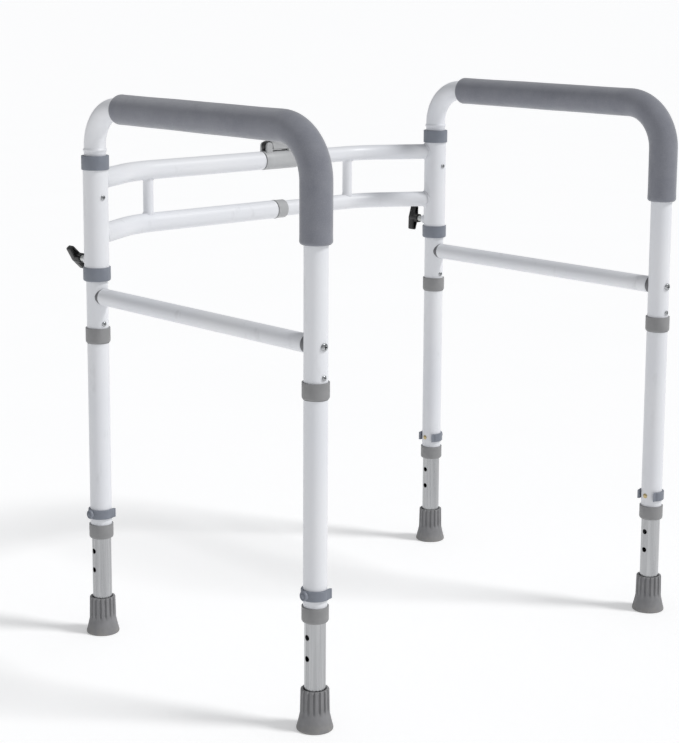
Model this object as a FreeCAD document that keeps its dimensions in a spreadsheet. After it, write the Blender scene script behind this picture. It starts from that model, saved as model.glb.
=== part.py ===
"""Free-standing toilet safety frame: two tube side frames with foam armrests, which turn
in sleeves on a telescoping rear bracket, on four legs with telescoping feet.

Frame: millimetres, +Z up, +Y to the rear (the toilet's tank side), +X to the sitter's left
as seen from the front. The origin is on the floor, at the middle of the whole frame's box.
"""
import FreeCAD
import Part
import math
import os
import re
import Sketcher
from FreeCAD import Placement, Rotation, Vector

doc = FreeCAD.newDocument("toilet_safety_frame")

# ---------------------------------------------------------------- driving dimensions
SIZES = [
    # overall
    ("leg_spacing", 612, "between the leg axes, side to side"),
    ("leg_depth", 424, "between the leg axes, front to rear"),
    # handrail and leg tube
    ("leg_dia", 28, "outside of the leg and handrail tube"),
    ("leg_wall", 1.2, "wall of the leg and handrail tube"),
    ("rear_bend", 50, "centre line radius of the rear bend"),
    ("front_bend", 58, "centre line radius of the front bend"),
    ("leg_spare", 31.6, "from the extension's highest reach up to the joint's spigot"),
    ("bend_gap", 2, "from the rear leg's stop bead up to its bend"),
    ("stop_bead_gap", 5, "from the upper sleeve collar to the bead pressed into the leg"),
    ("stop_bead_rise", 1.4, "how far the bead stands out of the leg"),
    # foam grip
    ("grip_wall", 5, "foam round the tube"),
    ("grip_gap", 5, "from the rear bend to the foam's rear end"),
    ("grip_tail", 70, "foam below the front bend"),
    ("grip_round", 4, "rounding of the foam's ends"),
    # joint of the leg tubes
    ("spigot_length", 60, "inner tube that bridges the joint"),
    ("spigot_wall", 1.5, "its wall"),
    ("spigot_fit", 0.05, "radial clearance of the spigot in the leg"),
    ("joint_collar_wall", 2, "collar round the joint"),
    ("joint_collar_height", 20, "its height"),
    ("joint_screw_gap", 6, "from the joint's collar up to the joint screw's axis"),
    ("joint_screw_dia", 4, "its shank"),
    ("joint_screw_head", 6.4, "its head"),
    ("joint_screw_length", 6, "its shank's length under the head"),
    # bottom collar, clip and extension
    ("bottom_collar_wall", 1.8, "collar on the lower leg tube's end"),
    ("bottom_collar_height", 19, "its height"),
    ("bottom_collar_lip", 2.5, "its lip under the tube's end"),
    ("slide_fit", 0.05, "radial clearance where a collar guides a tube"),
    ("extension_play", 0.3, "radial gap between the extension tube and the leg tube"),
    ("extension_wall", 1.5, "wall of the extension tube"),
    ("extension_head", 23, "tube above its top height hole"),
    ("lock_gap", 31, "from the lower leg tube's end up to the lock pin's axis"),
    ("hole_pitch", 25.4, "between two height holes"),
    ("hole_count", 7, "height holes in an extension"),
    ("holes_below", 3, "height holes below the lock pin at rest"),
    ("hole_dia", 7, "a height hole"),
    ("pin_dia", 6.7, "the lock pin"),
    ("pin_tip", 2.6, "how far its tip stands out of the leg"),
    ("clip_wall", 2.6, "thickness of the spring clip"),
    ("clip_height", 12, "its height"),
    ("clip_opening", 90, "degrees of the leg that it leaves open"),
    ("boss_dia", 12, "boss that holds the pin"),
    ("boss_rise", 2.6, "how far the boss stands out of the clip"),
    # rubber foot
    ("foot_base_wall", 9, "rubber round the extension at the base"),
    ("foot_neck_wall", 4.8, "above the flared base"),
    ("foot_top_wall", 4.2, "at the top"),
    ("foot_rim", 3, "height of the upright rim at the base"),
    ("foot_flare", 20, "height of the flared base with its rim"),
    ("foot_height", 49, "its height"),
    ("foot_sole", 8, "rubber under the extension's end"),
    ("foot_gap", 4.3, "from the foot up to the bottom collar at the lowest setting"),
    # side rail
    ("side_rail_lift", 23.4, "from the joint screw's axis up to the rail's saddles"),
    ("side_rail_gap", 8, "from the saddles up to the lower sleeve collar"),
    ("side_rail_dia", 22, "its outside"),
    ("side_rail_wall", 1.2, "its wall"),
    ("saddle_nose", 1.2, "saddle between the leg and the rail's flat end"),
    ("saddle_rim", 0.8, "how far the saddle stands out round the rail"),
    ("insert_length", 16, "threaded insert in each end of the rail"),
    ("rail_screw_dia", 6, "screw through the leg into the insert"),
    ("rail_screw_head", 9.4, "its head"),
    ("rail_screw_rise", 3, "its head's height"),
    ("screw_play", 0.1, "radial clearance of a screw in a drilled wall"),
    # sleeve
    ("sleeve_play", 0.5, "radial gap between the rear leg and the sleeve round it"),
    ("sleeve_wall", 1.5, "wall of the sleeve"),
    ("sleeve_collar_wall", 1.7, "collars on the sleeve's ends"),
    ("sleeve_collar_height", 18, "their height"),
    ("sleeve_collar_lip", 3, "their lip past the sleeve's end"),
    ("sleeve_screw_drop", 50, "from the sleeve's top down to its small screw"),
    # rear rails
    ("lower_rail_gap", 13.5, "from the knob's nut up to the left lower rail"),
    ("rail_gap", 45, "between the two left rails"),
    ("upper_rail_gap", 1, "from the left upper rail up to the upper sleeve collar"),
    ("rail_offset", 58, "rails' straight part behind the leg axes"),
    ("rail_slant", 30, "degrees of the slanted part off the X direction"),
    ("rail_bend", 120, "centre line radius of the rails' bend"),
    ("outer_rail_dia", 26, "left rails"),
    ("outer_rail_wall", 1.2, "their wall"),
    ("inner_rail_play", 0.8, "radial gap round the right rails, which slide in the left ones"),
    ("inner_rail_wall", 1.2, "wall of the right rails"),
    ("lower_rail_excess", 22, "how much further in the lower left rail reaches"),
    ("width_in", 90, "how far the frame can narrow"),
    ("inner_rail_gap", 9.82, "from the right rails' ends to the left bend at the narrowest"),
    ("strut_dia", 14, "upright between the rails"),
    ("strut_inset", 24.54, "from the rails' corner inwards to the strut's axis"),
    ("plug_length", 10, "end plug in an inner rail"),
    # rail collar and quick-release clamp
    ("rail_collar_rise", 0.5, "collar and clamp barrel stand this far out of the left rails"),
    ("rail_collar_length", 19, "lower rail's collar outside the rail"),
    ("rail_spigot", 15, "how deep it and the clamp sit in the rail"),
    ("clamp_length", 62, "clamp's barrel outside the rail"),
    ("clamp_gap", 6, "from the clamp to the right strut at the narrowest"),
    ("clamp_width", 16, "clamp's ears, lever and stop block, along Y"),
    ("clamp_rise", 14, "their top above the barrel"),
    ("clamp_slit", 2, "slit that lets the barrel close"),
    ("pivot_inset", 10, "from the rail's end to the lever's pivot"),
    ("pivot_rise", 7, "pivot above the barrel"),
    ("ear_dia", 14, "round ears of the pivot"),
    ("lever_gap", 0.8, "gap round the closed lever"),
    ("lever_neck", 7, "lever's neck between the ears"),
    ("lever_tip", 34, "from the pivot to the lever's tip"),
    ("lever_pin_dia", 4, "pivot pin"),
    # thumb knobs
    ("nut_dia", 13, "welded nut on the sleeve"),
    ("nut_gap", 0.5, "from the lower sleeve collar up to the nut"),
    ("nut_rise", 7, "its face off the sleeve"),
    ("bolt_dia", 8, "knob's bolt"),
    ("bolt_tip_gap", 0.3, "bolt's tip off the leg"),
    ("knob_gap", 9, "from the nut's face to the knob's hub"),
    ("knob_hub_dia", 13, "its hub"),
    ("knob_hub_length", 8, "its hub's length"),
    ("wing_length", 36, "tip to tip"),
    ("wing_width", 12, "across the wings' middle"),
    ("wing_tip", 7, "across the wings' ends"),
    ("wing_depth", 10, "thickness of the wings"),
    ("left_knob_turn", -38, "degrees that the left knob is turned off upright"),
    ("right_knob_turn", 9, "degrees that the right knob is turned off upright"),
]
ALIASES = {alias for alias, value, note in SIZES}

sheet = doc.addObject("Spreadsheet::Sheet", "Sizes")
for row, (alias, value, note) in enumerate(SIZES, start=1):
    sheet.set(f"A{row}", alias)
    sheet.set(f"B{row}", str(value))
    sheet.setAlias(f"B{row}", alias)
    sheet.set(f"C{row}", note)
doc.recompute()

# Sizes worked out from the ones above, from each tube to what fits in or round it.
LEG_BORE = "(leg_dia - 2 * leg_wall)"
GRIP_DIA = "(leg_dia + 2 * grip_wall)"
JOINT_COLLAR_DIA = "(leg_dia + 2 * joint_collar_wall)"
BOTTOM_COLLAR_DIA = "(leg_dia + 2 * bottom_collar_wall)"
SPIGOT_DIA = f"({LEG_BORE} - 2 * spigot_fit)"
EXTENSION_DIA = f"({LEG_BORE} - 2 * extension_play)"
FOOT_BASE_DIA = f"({EXTENSION_DIA} + 2 * foot_base_wall)"
FOOT_NECK_DIA = f"({EXTENSION_DIA} + 2 * foot_neck_wall)"
FOOT_TOP_DIA = f"({EXTENSION_DIA} + 2 * foot_top_wall)"
SIDE_RAIL_BORE = "(side_rail_dia - 2 * side_rail_wall)"
SLEEVE_BORE = "(leg_dia + 2 * sleeve_play)"
SLEEVE_DIA = f"({SLEEVE_BORE} + 2 * sleeve_wall)"
SLEEVE_COLLAR_DIA = f"({SLEEVE_DIA} + 2 * sleeve_collar_wall)"
OUTER_RAIL_BORE = "(outer_rail_dia - 2 * outer_rail_wall)"
INNER_RAIL_DIA = f"({OUTER_RAIL_BORE} - 2 * inner_rail_play)"
RAIL_COLLAR_DIA = "(outer_rail_dia + 2 * rail_collar_rise)"
RAIL_SCREW_HOLE = "(rail_screw_dia + 2 * screw_play)"
JOINT_SCREW_HOLE = "(joint_screw_dia + 2 * screw_play)"
BOLT_HOLE = "(bolt_dia + 2 * screw_play)"
BARREL_TOP = f"({RAIL_COLLAR_DIA} / 2)"
CLAMP_TOP = f"({BARREL_TOP} + clamp_rise)"
PIVOT_Z = f"({BARREL_TOP} + pivot_rise)"
NUT_FACE = f"({SLEEVE_DIA} / 2 + nut_rise)"
KNOB_START = f"({NUT_FACE} + knob_gap)"

# Places worked out from the sizes above. The box of the frame runs in Y from the front
# feet to the rear rails' collars, and the origin is in its middle.
MIDDLE_Y = f"(({FOOT_BASE_DIA} - {RAIL_COLLAR_DIA}) / 4 - rail_offset / 2)"
REAR_Y = f"({MIDDLE_Y} + leg_depth / 2)"
FRONT_Y = f"({MIDDLE_Y} - leg_depth / 2)"
RAIL_Y = f"({REAR_Y} + rail_offset)"
LEG_ENDS = {"front": FRONT_Y, "rear": REAR_Y}

# Heights, from the floor up.
LEG_END_Z = "(foot_height + holes_below * hole_pitch + foot_gap + bottom_collar_lip)"
LOCK_Z = f"({LEG_END_Z} + lock_gap)"
EXTENSION_TOP_Z = f"({LOCK_Z} + (hole_count - 1 - holes_below) * hole_pitch + extension_head)"
JOINT_Z = f"({EXTENSION_TOP_Z} + holes_below * hole_pitch + leg_spare + spigot_length / 2)"
JOINT_SCREW_Z = f"({JOINT_Z} + joint_collar_height / 2 + joint_screw_gap)"
SIDE_RAIL_Z = f"({JOINT_SCREW_Z} + side_rail_lift + saddle_rim + side_rail_dia / 2)"
LOWER_COLLAR_Z = f"({SIDE_RAIL_Z} + side_rail_dia / 2 + saddle_rim + side_rail_gap)"
SLEEVE_LOW_Z = f"({LOWER_COLLAR_Z} + sleeve_collar_lip)"
KNOB_Z = f"({LOWER_COLLAR_Z} + sleeve_collar_height + nut_gap + nut_dia / 2)"
LOWER_RAIL_Z = f"({KNOB_Z} + nut_dia / 2 + lower_rail_gap + outer_rail_dia / 2)"
UPPER_RAIL_Z = f"({LOWER_RAIL_Z} + outer_rail_dia + rail_gap)"
UPPER_COLLAR_Z = f"({UPPER_RAIL_Z} + outer_rail_dia / 2 + upper_rail_gap)"
SLEEVE_TOP_Z = f"({UPPER_COLLAR_Z} + sleeve_collar_height - sleeve_collar_lip)"
STOP_BEAD_Z = f"({SLEEVE_TOP_Z} + sleeve_collar_lip + stop_bead_gap + stop_bead_rise + leg_wall / 2)"
HANDRAIL_Z = f"({STOP_BEAD_Z} + leg_wall / 2 + stop_bead_rise + bend_gap + rear_bend)"
SLEEVE_SCREW_Z = f"({SLEEVE_TOP_Z} - sleeve_screw_drop)"
RAIL_LEVELS = {"upper": UPPER_RAIL_Z, "lower": LOWER_RAIL_Z}

# Places along the rails: their corner, where their bend starts, the strut, the ends of the
# left ones in X, and the right ones' reach past the middle.
CORNER_X = "(leg_spacing / 2 - rail_offset / tan(rail_slant))"
BEND_X = f"({CORNER_X} - rail_bend * tan(rail_slant / 2))"
STRUT_X = f"({CORNER_X} - strut_inset)"
UPPER_RAIL_END = f"({STRUT_X} - strut_dia / 2 - width_in - clamp_gap - clamp_length)"
LOWER_RAIL_END = f"({UPPER_RAIL_END} + lower_rail_excess)"
LEFT_RAIL_ENDS = {"upper": UPPER_RAIL_END, "lower": LOWER_RAIL_END}
INNER_RAIL_END = f"({BEND_X} - inner_rail_gap - width_in)"
RIGHT_RAIL_ENDS = {level: INNER_RAIL_END for level in RAIL_LEVELS}
LEFT, RIGHT = -1, 1
SIDE_NAMES = {LEFT: "left", RIGHT: "right"}
FRONT, REAR = -1, 1
parts = []


# ---------------------------------------------------------------- ways of building
def in_sheet(formula):
    """The formula with each size written as its spreadsheet cell."""
    return re.sub(r"[a-z_]+", lambda w: "Sizes." + w[0] if w[0] in ALIASES else w[0], formula)


def bind(item, **formulas):
    """Bind properties of an item to formulas of the sizes."""
    for name, formula in formulas.items():
        item.setExpression(name, in_sheet(str(formula)))
    return item


def place(item, x=0, y=0, z=0, turn=Rotation()):
    """Turn an item, and bind its place to formulas of the sizes."""
    item.Placement = Placement(Vector(), turn)
    for name, formula in (("x", x), ("y", y), ("z", z)):
        item.setExpression(f"Placement.Base.{name}", in_sheet(str(formula)))
    return item


def turn_to(item, degrees, axis=Vector(0, 0, 1)):
    """Turn an item about an axis of its own by a formula of the sizes."""
    item.Placement = Placement(Vector(), Rotation(axis, 1))
    item.setExpression("Placement.Rotation.Angle", in_sheet(degrees))


def along(x, y, z):
    """The turn that takes an item's own Z to this direction."""
    return Rotation(Vector(0, 0, 1), Vector(x, y, z))


ALONG_X = along(1, 0, 0)
ALONG_Y = along(0, 1, 0)


def rod(dia, length, x=0, y=0, z=0, turn=Rotation()):
    item = doc.addObject("Part::Cylinder", "Rod")
    bind(item, Radius=f"({dia}) / 2", Height=length)
    return place(item, x, y, z, turn)


def cone(dia, top_dia, height, x=0, y=0, z=0, turn=Rotation()):
    item = doc.addObject("Part::Cone", "Cone")
    bind(item, Radius1=f"({dia}) / 2", Radius2=f"({top_dia}) / 2", Height=height)
    return place(item, x, y, z, turn)


def block(length, width, height, x=0, y=0, z=0):
    """A box centred on y, from x and z up."""
    item = doc.addObject("Part::Box", "Block")
    bind(item, Length=length, Width=width, Height=height)
    return place(item, x, f"({y}) - ({width}) / 2", z)


def join(items):
    item = doc.addObject("Part::MultiFuse", "Join")
    item.Shapes = items
    return item


def cut(base, tools):
    item = doc.addObject("Part::Cut", "Cut")
    item.Base = base
    item.Tool = tools[0] if len(tools) == 1 else join(tools)
    return item


def pipe(outer, inner, length, z=0):
    """A straight tube on the Z axis."""
    return cut(rod(outer, length, z=z), [rod(inner, length, z=z)])


def group(items):
    item = doc.addObject("Part::Compound", "Group")
    item.Links = items
    return item


def name_part(item, label):
    """Make an item a sub-part, with the label that names its file."""
    item.Label = label
    parts.append(item)
    return item


def on_side(item, side, label):
    """Name a side frame's piece and move it from the middle of its legs to its side."""
    place(item, f"{side} * leg_spacing / 2", MIDDLE_Y)
    return name_part(item, label)


def origin_plane(body, role):
    return next(feature for feature in body.Origin.OriginFeatures if feature.Role == role)


def new_sketch(body, name, plane):
    sketch = body.newObject("Sketcher::SketchObject", name)
    sketch.AttachmentSupport = (origin_plane(body, plane), [""])
    sketch.MapMode = "FlatFace"
    return sketch


def fix_length(sketch, name, constraint, formula):
    """Add a constraint and bind it to a formula of the sizes."""
    index = sketch.addConstraint(constraint)
    sketch.renameConstraint(index, name)
    sketch.setExpression(f"Constraints.{name}", in_sheet(formula))


def value_of(formula):
    """What a formula of the sizes comes to now."""
    return float(sheet.evalExpression(str(formula)))


def path_sketch(body, plane, points, radii):
    """Straight runs from point to point, with a tangent arc of its radius inside each corner.

    points are pairs of formulas in the sketch's plane, the first of them the path's start,
    and radii are one formula for each point between the first and the last.
    """
    sketch = new_sketch(body, "Path", plane)
    at = [Vector(value_of(u), value_of(v), 0) for u, v in points]
    arcs = []
    for before, corner, after, radius in zip(at, at[1:], at[2:], radii):
        back = (before - corner).normalize()
        ahead = (after - corner).normalize()
        half = back.getAngle(ahead) / 2
        size = value_of(radius)
        start = corner + back * (size / math.tan(half))
        end = corner + ahead * (size / math.tan(half))
        centre = corner + (back + ahead).normalize() * (size / math.sin(half))
        leftward = back.cross(ahead).z < 0
        arcs.append((start, end, centre, size, leftward))
    starts = [at[0]] + [end for start, end, *rest in arcs]
    ends = [start for start, *rest in arcs] + [at[-1]]
    runs = [sketch.addGeometry(Part.LineSegment(a, b)) for a, b in zip(starts, ends)]

    for number, (start, end, centre, size, leftward) in enumerate(arcs):
        first, last = (start, end) if leftward else (end, start)
        angles = [math.atan2(p.y - centre.y, p.x - centre.x) for p in (first, last)]
        circle = Part.Circle(centre, Vector(0, 0, 1), size)
        arc = sketch.addGeometry(Part.ArcOfCircle(circle, *angles))
        way_in, way_out = (1, 2) if leftward else (2, 1)
        run, next_run = runs[number], runs[number + 1]
        sketch.addConstraint(Sketcher.Constraint("Tangent", run, 2, arc, way_in))
        sketch.addConstraint(Sketcher.Constraint("Tangent", arc, way_out, next_run, 1))
        bend = Sketcher.Constraint("Radius", arc, size)
        fix_length(sketch, f"bend_{number}", bend, radii[number])
        corner = sketch.addGeometry(Part.Point(at[number + 1]), True)
        sketch.addConstraint(Sketcher.Constraint("PointOnObject", corner, 1, run))
        sketch.addConstraint(Sketcher.Constraint("PointOnObject", corner, 1, next_run))
        fix_point(sketch, f"corner_{number}", corner, 1, points[number + 1])
    fix_point(sketch, "start", runs[0], 1, points[0])
    fix_point(sketch, "end", runs[-1], 2, points[-1])
    return sketch


def fix_point(sketch, name, geometry, end, point):
    """Bind a point of a sketch to its pair of formulas."""
    for axis, formula in zip("XY", point):
        distance = Sketcher.Constraint(f"Distance{axis}", geometry, end, value_of(formula))
        fix_length(sketch, f"{name}_{axis.lower()}", distance, formula)


def bent_tube(label, path_plane, profile_plane, points, radii, outer, inner=None):
    """A body swept along a path that starts at its origin, square to the profile's plane.

    With no inner diameter it is a solid bar.
    """
    body = doc.addObject("PartDesign::Body", label)
    path = path_sketch(body, path_plane, points, radii)
    profile = new_sketch(body, "Profile", profile_plane)
    circles = {"outer": outer, "inner": inner} if inner else {"outer": outer}
    for name, dia in circles.items():
        radius = value_of(f"({dia}) / 2")
        circle = profile.addGeometry(Part.Circle(Vector(), Vector(0, 0, 1), radius))
        profile.addConstraint(Sketcher.Constraint("Coincident", circle, 3, -1, 1))
        fix_length(profile, name, Sketcher.Constraint("Diameter", circle, 2 * radius), dia)
    doc.recompute()
    sweep = body.newObject("PartDesign::AdditivePipe", "Sweep")
    sweep.Profile = profile
    sweep.Spine = (path, [""])
    return body


# ---------------------------------------------------------------- side frames
def make_handrail_tube(side, label):
    """Rear leg, armrest and front leg in one bent tube, with the rear leg's stop bead."""
    rise = f"({HANDRAIL_Z} - {JOINT_Z})"
    points = [("0", "0"), ("0", rise), ("-leg_depth", rise), ("-leg_depth", "0")]
    radii = ["rear_bend", "front_bend"]
    tube = bent_tube(label + "_sweep", "YZ_Plane", "XY_Plane", points, radii,
                     "leg_dia", LEG_BORE)
    place(tube, 0, "leg_depth / 2", JOINT_Z)
    bead = doc.addObject("Part::Torus", "Stop_bead")
    bind(bead, Radius1="leg_dia / 2 - leg_wall / 2", Radius2="leg_wall / 2 + stop_bead_rise")
    place(bead, 0, "leg_depth / 2", STOP_BEAD_Z)
    bore = rod(LEG_BORE, "4 * stop_bead_rise + 2 * leg_wall", 0, "leg_depth / 2",
               f"{STOP_BEAD_Z} - 2 * stop_bead_rise - leg_wall")
    holes = []
    for end in (FRONT, REAR):
        leg_y = f"{end} * leg_depth / 2"
        holes.append(rod(RAIL_SCREW_HOLE, "2 * leg_dia", 0, f"{leg_y} - leg_dia",
                         SIDE_RAIL_Z, ALONG_Y))
        holes.append(rod(JOINT_SCREW_HOLE, "leg_dia", 0, f"{leg_y} - leg_dia",
                         JOINT_SCREW_Z, ALONG_Y))
    on_side(cut(join([tube, bead]), [bore] + holes), side, label)


def make_grip(side, label):
    """Foam over the armrest and round the front bend. Its ends are rounded."""
    run = "(leg_depth - rear_bend - grip_gap)"
    points = [("0", "0"), (f"-{run}", "0"), (f"-{run}", "-front_bend - grip_tail")]
    body = bent_tube(label + "_sweep", "YZ_Plane", "XZ_Plane", points, ["front_bend"],
                     GRIP_DIA, "leg_dia")
    doc.recompute()
    rims = [f"Edge{n}" for n, edge in enumerate(body.Shape.Edges, start=1)
            if abs(edge.Length - math.pi * value_of(GRIP_DIA)) < 0.01
            and is_end_rim(edge, body.Shape)]
    sweep = body.Tip
    rounding = body.newObject("PartDesign::Fillet", "Rounded_ends")
    rounding.Base = (sweep, rims)
    bind(rounding, Radius="grip_round")
    place(body, f"{side} * leg_spacing / 2", f"{REAR_Y} - rear_bend - grip_gap", HANDRAIL_Z)
    name_part(body, label)


def is_end_rim(edge, shape):
    """Whether a rim of the foam is at one of its two ends."""
    middle = edge.BoundBox.Center
    box = shape.BoundBox
    return middle.y > box.YMax - 0.01 or middle.z < box.ZMin + 0.01


def make_side_rail(side):
    """The rail with its saddles on the legs, its threaded inserts and its screws."""
    name = SIDE_NAMES[side]
    flat_end = "(leg_depth / 2 - leg_dia / 2 - saddle_nose)"
    rail = cut(rod("side_rail_dia", f"2 * {flat_end}", 0, f"-{flat_end}", SIDE_RAIL_Z, ALONG_Y),
               [rod(SIDE_RAIL_BORE, f"2 * {flat_end}", 0, f"-{flat_end}", SIDE_RAIL_Z, ALONG_Y)])
    on_side(rail, side, name + "_side_rail")

    saddles, inserts, screws = [], [], []
    for end in (FRONT, REAR):
        inward = along(0, -end, 0)
        outward = along(0, end, 0)
        leg_y = f"{end} * leg_depth / 2"
        leg = rod("leg_dia", "2 * side_rail_dia", 0, leg_y, f"{SIDE_RAIL_Z} - side_rail_dia")
        hole = rod(RAIL_SCREW_HOLE, "leg_dia", 0, leg_y, SIDE_RAIL_Z, inward)
        saddle = rod("side_rail_dia + 2 * saddle_rim", "leg_dia / 2 + saddle_nose",
                     0, leg_y, SIDE_RAIL_Z, inward)
        saddles.append(cut(saddle, [leg, hole]))
        insert_y = f"{end} * {flat_end}"
        inserts.append(cut(rod(SIDE_RAIL_BORE, "insert_length", 0, insert_y, SIDE_RAIL_Z, inward),
                           [rod("rail_screw_dia", "insert_length", 0, insert_y,
                                SIDE_RAIL_Z, inward)]))
        face_y = f"{end} * (leg_depth / 2 + leg_dia / 2)"
        shank = rod("rail_screw_dia", "leg_dia + saddle_nose + insert_length", 0, face_y,
                    SIDE_RAIL_Z, inward)
        head = cone("rail_screw_head", "rail_screw_head / 2", "rail_screw_rise", 0, face_y,
                    SIDE_RAIL_Z, outward)
        screws.append(join([shank, head]))
    on_side(group(saddles), side, name + "_rail_saddles")
    on_side(group(inserts), side, name + "_rail_inserts")
    on_side(group(screws), side, name + "_rail_screws")


def make_leg_joints(side):
    """Spigot, collar and screw where each lower leg tube meets the handrail tube."""
    name = SIDE_NAMES[side]
    spigots, collars, screws = [], [], []
    spigot_z = f"{JOINT_Z} - spigot_length / 2"
    for end in (FRONT, REAR):
        leg_y = f"{end} * leg_depth / 2"
        spigot = cut(rod(SPIGOT_DIA, "spigot_length", 0, leg_y, spigot_z),
                     [rod(f"{SPIGOT_DIA} - 2 * spigot_wall", "spigot_length", 0, leg_y, spigot_z),
                      rod("joint_screw_dia", "leg_dia", 0, f"{leg_y} - leg_dia",
                          JOINT_SCREW_Z, ALONG_Y)])
        spigots.append(spigot)
        collar_z = f"{JOINT_Z} - joint_collar_height / 2"
        collars.append(cut(rod(JOINT_COLLAR_DIA, "joint_collar_height", 0, leg_y, collar_z),
                           [rod("leg_dia", "joint_collar_height", 0, leg_y, collar_z)]))
        face_y = f"{leg_y} - leg_dia / 2"
        shank = rod("joint_screw_dia", "joint_screw_length", 0, face_y, JOINT_SCREW_Z, ALONG_Y)
        head = cone("joint_screw_head", "joint_screw_head / 2", "joint_screw_head / 3",
                    0, face_y, JOINT_SCREW_Z, along(0, -1, 0))
        screws.append(join([shank, head]))
    on_side(group(spigots), side, name + "_joint_spigots")
    on_side(group(collars), side, name + "_joint_collars")
    on_side(group(screws), side, name + "_joint_screws")


def make_lower_legs(side):
    """Lower leg tubes, with the collars, spring clips and pins that hold the extensions."""
    name = SIDE_NAMES[side]
    outward = along(side, 0, 0)
    collars, clips, pins = [], [], []
    for end_name, end in (("front", FRONT), ("rear", REAR)):
        leg_y = f"{end} * leg_depth / 2"
        tube = cut(rod("leg_dia", f"{JOINT_Z} - {LEG_END_Z}", 0, leg_y, LEG_END_Z),
                   [rod(LEG_BORE, f"{JOINT_Z} - {LEG_END_Z}", 0, leg_y, LEG_END_Z),
                    rod("hole_dia", "2 * leg_dia", "-leg_dia", leg_y, LOCK_Z, ALONG_X)])
        on_side(tube, side, f"{name}_{end_name}_leg_tube")

        collar_z = f"{LEG_END_Z} - bottom_collar_lip"
        collars.append(cut(rod(BOTTOM_COLLAR_DIA, "bottom_collar_height", 0, leg_y, collar_z),
                           [rod("leg_dia", "bottom_collar_height", 0, leg_y, LEG_END_Z),
                            rod(f"{EXTENSION_DIA} + 2 * slide_fit", "bottom_collar_lip",
                                0, leg_y, collar_z)]))

        clip_z = f"{LOCK_Z} - clip_height / 2"
        ring = rod("leg_dia + 2 * clip_wall", "clip_height", 0, leg_y, clip_z)
        bind(ring, Angle="360 - clip_opening")
        turn_to(ring, f"clip_opening / 2 + {0 if side == LEFT else 180}")
        boss = rod("boss_dia", "leg_dia / 2 + clip_wall + boss_rise", 0, leg_y, LOCK_Z, outward)
        bore = rod("leg_dia", "3 * clip_height", 0, leg_y, f"{LOCK_Z} - 1.5 * clip_height")
        pin_hole = rod("pin_dia", "leg_dia", 0, leg_y, LOCK_Z, outward)
        clips.append(cut(join([ring, boss]), [bore, pin_hole]))

        pin_start = f"{side} * (leg_dia / 2 + clip_wall + boss_rise)"
        pin_length = "leg_dia + clip_wall + boss_rise + pin_tip"
        pins.append(rod("pin_dia", pin_length, pin_start, leg_y, LOCK_Z, along(-side, 0, 0)))
    on_side(group(collars), side, name + "_bottom_collars")
    on_side(group(clips), side, name + "_lock_clips")
    on_side(group(pins), side, name + "_lock_pins")


def make_extension(side, end_name):
    """Extension tube with its row of height holes, and its rubber foot."""
    name = SIDE_NAMES[side] + "_" + end_name
    leg_x = f"{side} * leg_spacing / 2"
    leg_y = LEG_ENDS[end_name]
    bore = f"({EXTENSION_DIA} - 2 * extension_wall)"
    holes = []
    for number in range(int(sheet.hole_count)):
        hole_z = f"{LOCK_Z} + ({number} - holes_below) * hole_pitch - foot_sole"
        holes.append(rod("hole_dia", f"2 * {EXTENSION_DIA}", f"-{EXTENSION_DIA}", 0, hole_z, ALONG_X))
    tube = cut(pipe(EXTENSION_DIA, bore, f"{EXTENSION_TOP_Z} - foot_sole"), holes)
    place(tube, leg_x, leg_y, "foot_sole")
    name_part(tube, name + "_extension")

    rim = rod(FOOT_BASE_DIA, "foot_rim")
    flare = cone(FOOT_BASE_DIA, FOOT_NECK_DIA, "foot_flare - foot_rim", z="foot_rim")
    cup = cone(FOOT_NECK_DIA, FOOT_TOP_DIA, "foot_height - foot_flare", z="foot_flare")
    socket = rod(EXTENSION_DIA, "foot_height - foot_sole", z="foot_sole")
    foot = cut(join([rim, flare, cup]), [socket])
    place(foot, leg_x, leg_y)
    name_part(foot, name + "_foot")


# ---------------------------------------------------------------- rear bracket
def at_rear_leg(item, side, label):
    """Name a bracket's piece and move it from the origin to its rear leg's axis."""
    place(item, f"{side} * leg_spacing / 2", REAR_Y)
    return name_part(item, label)


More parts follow.
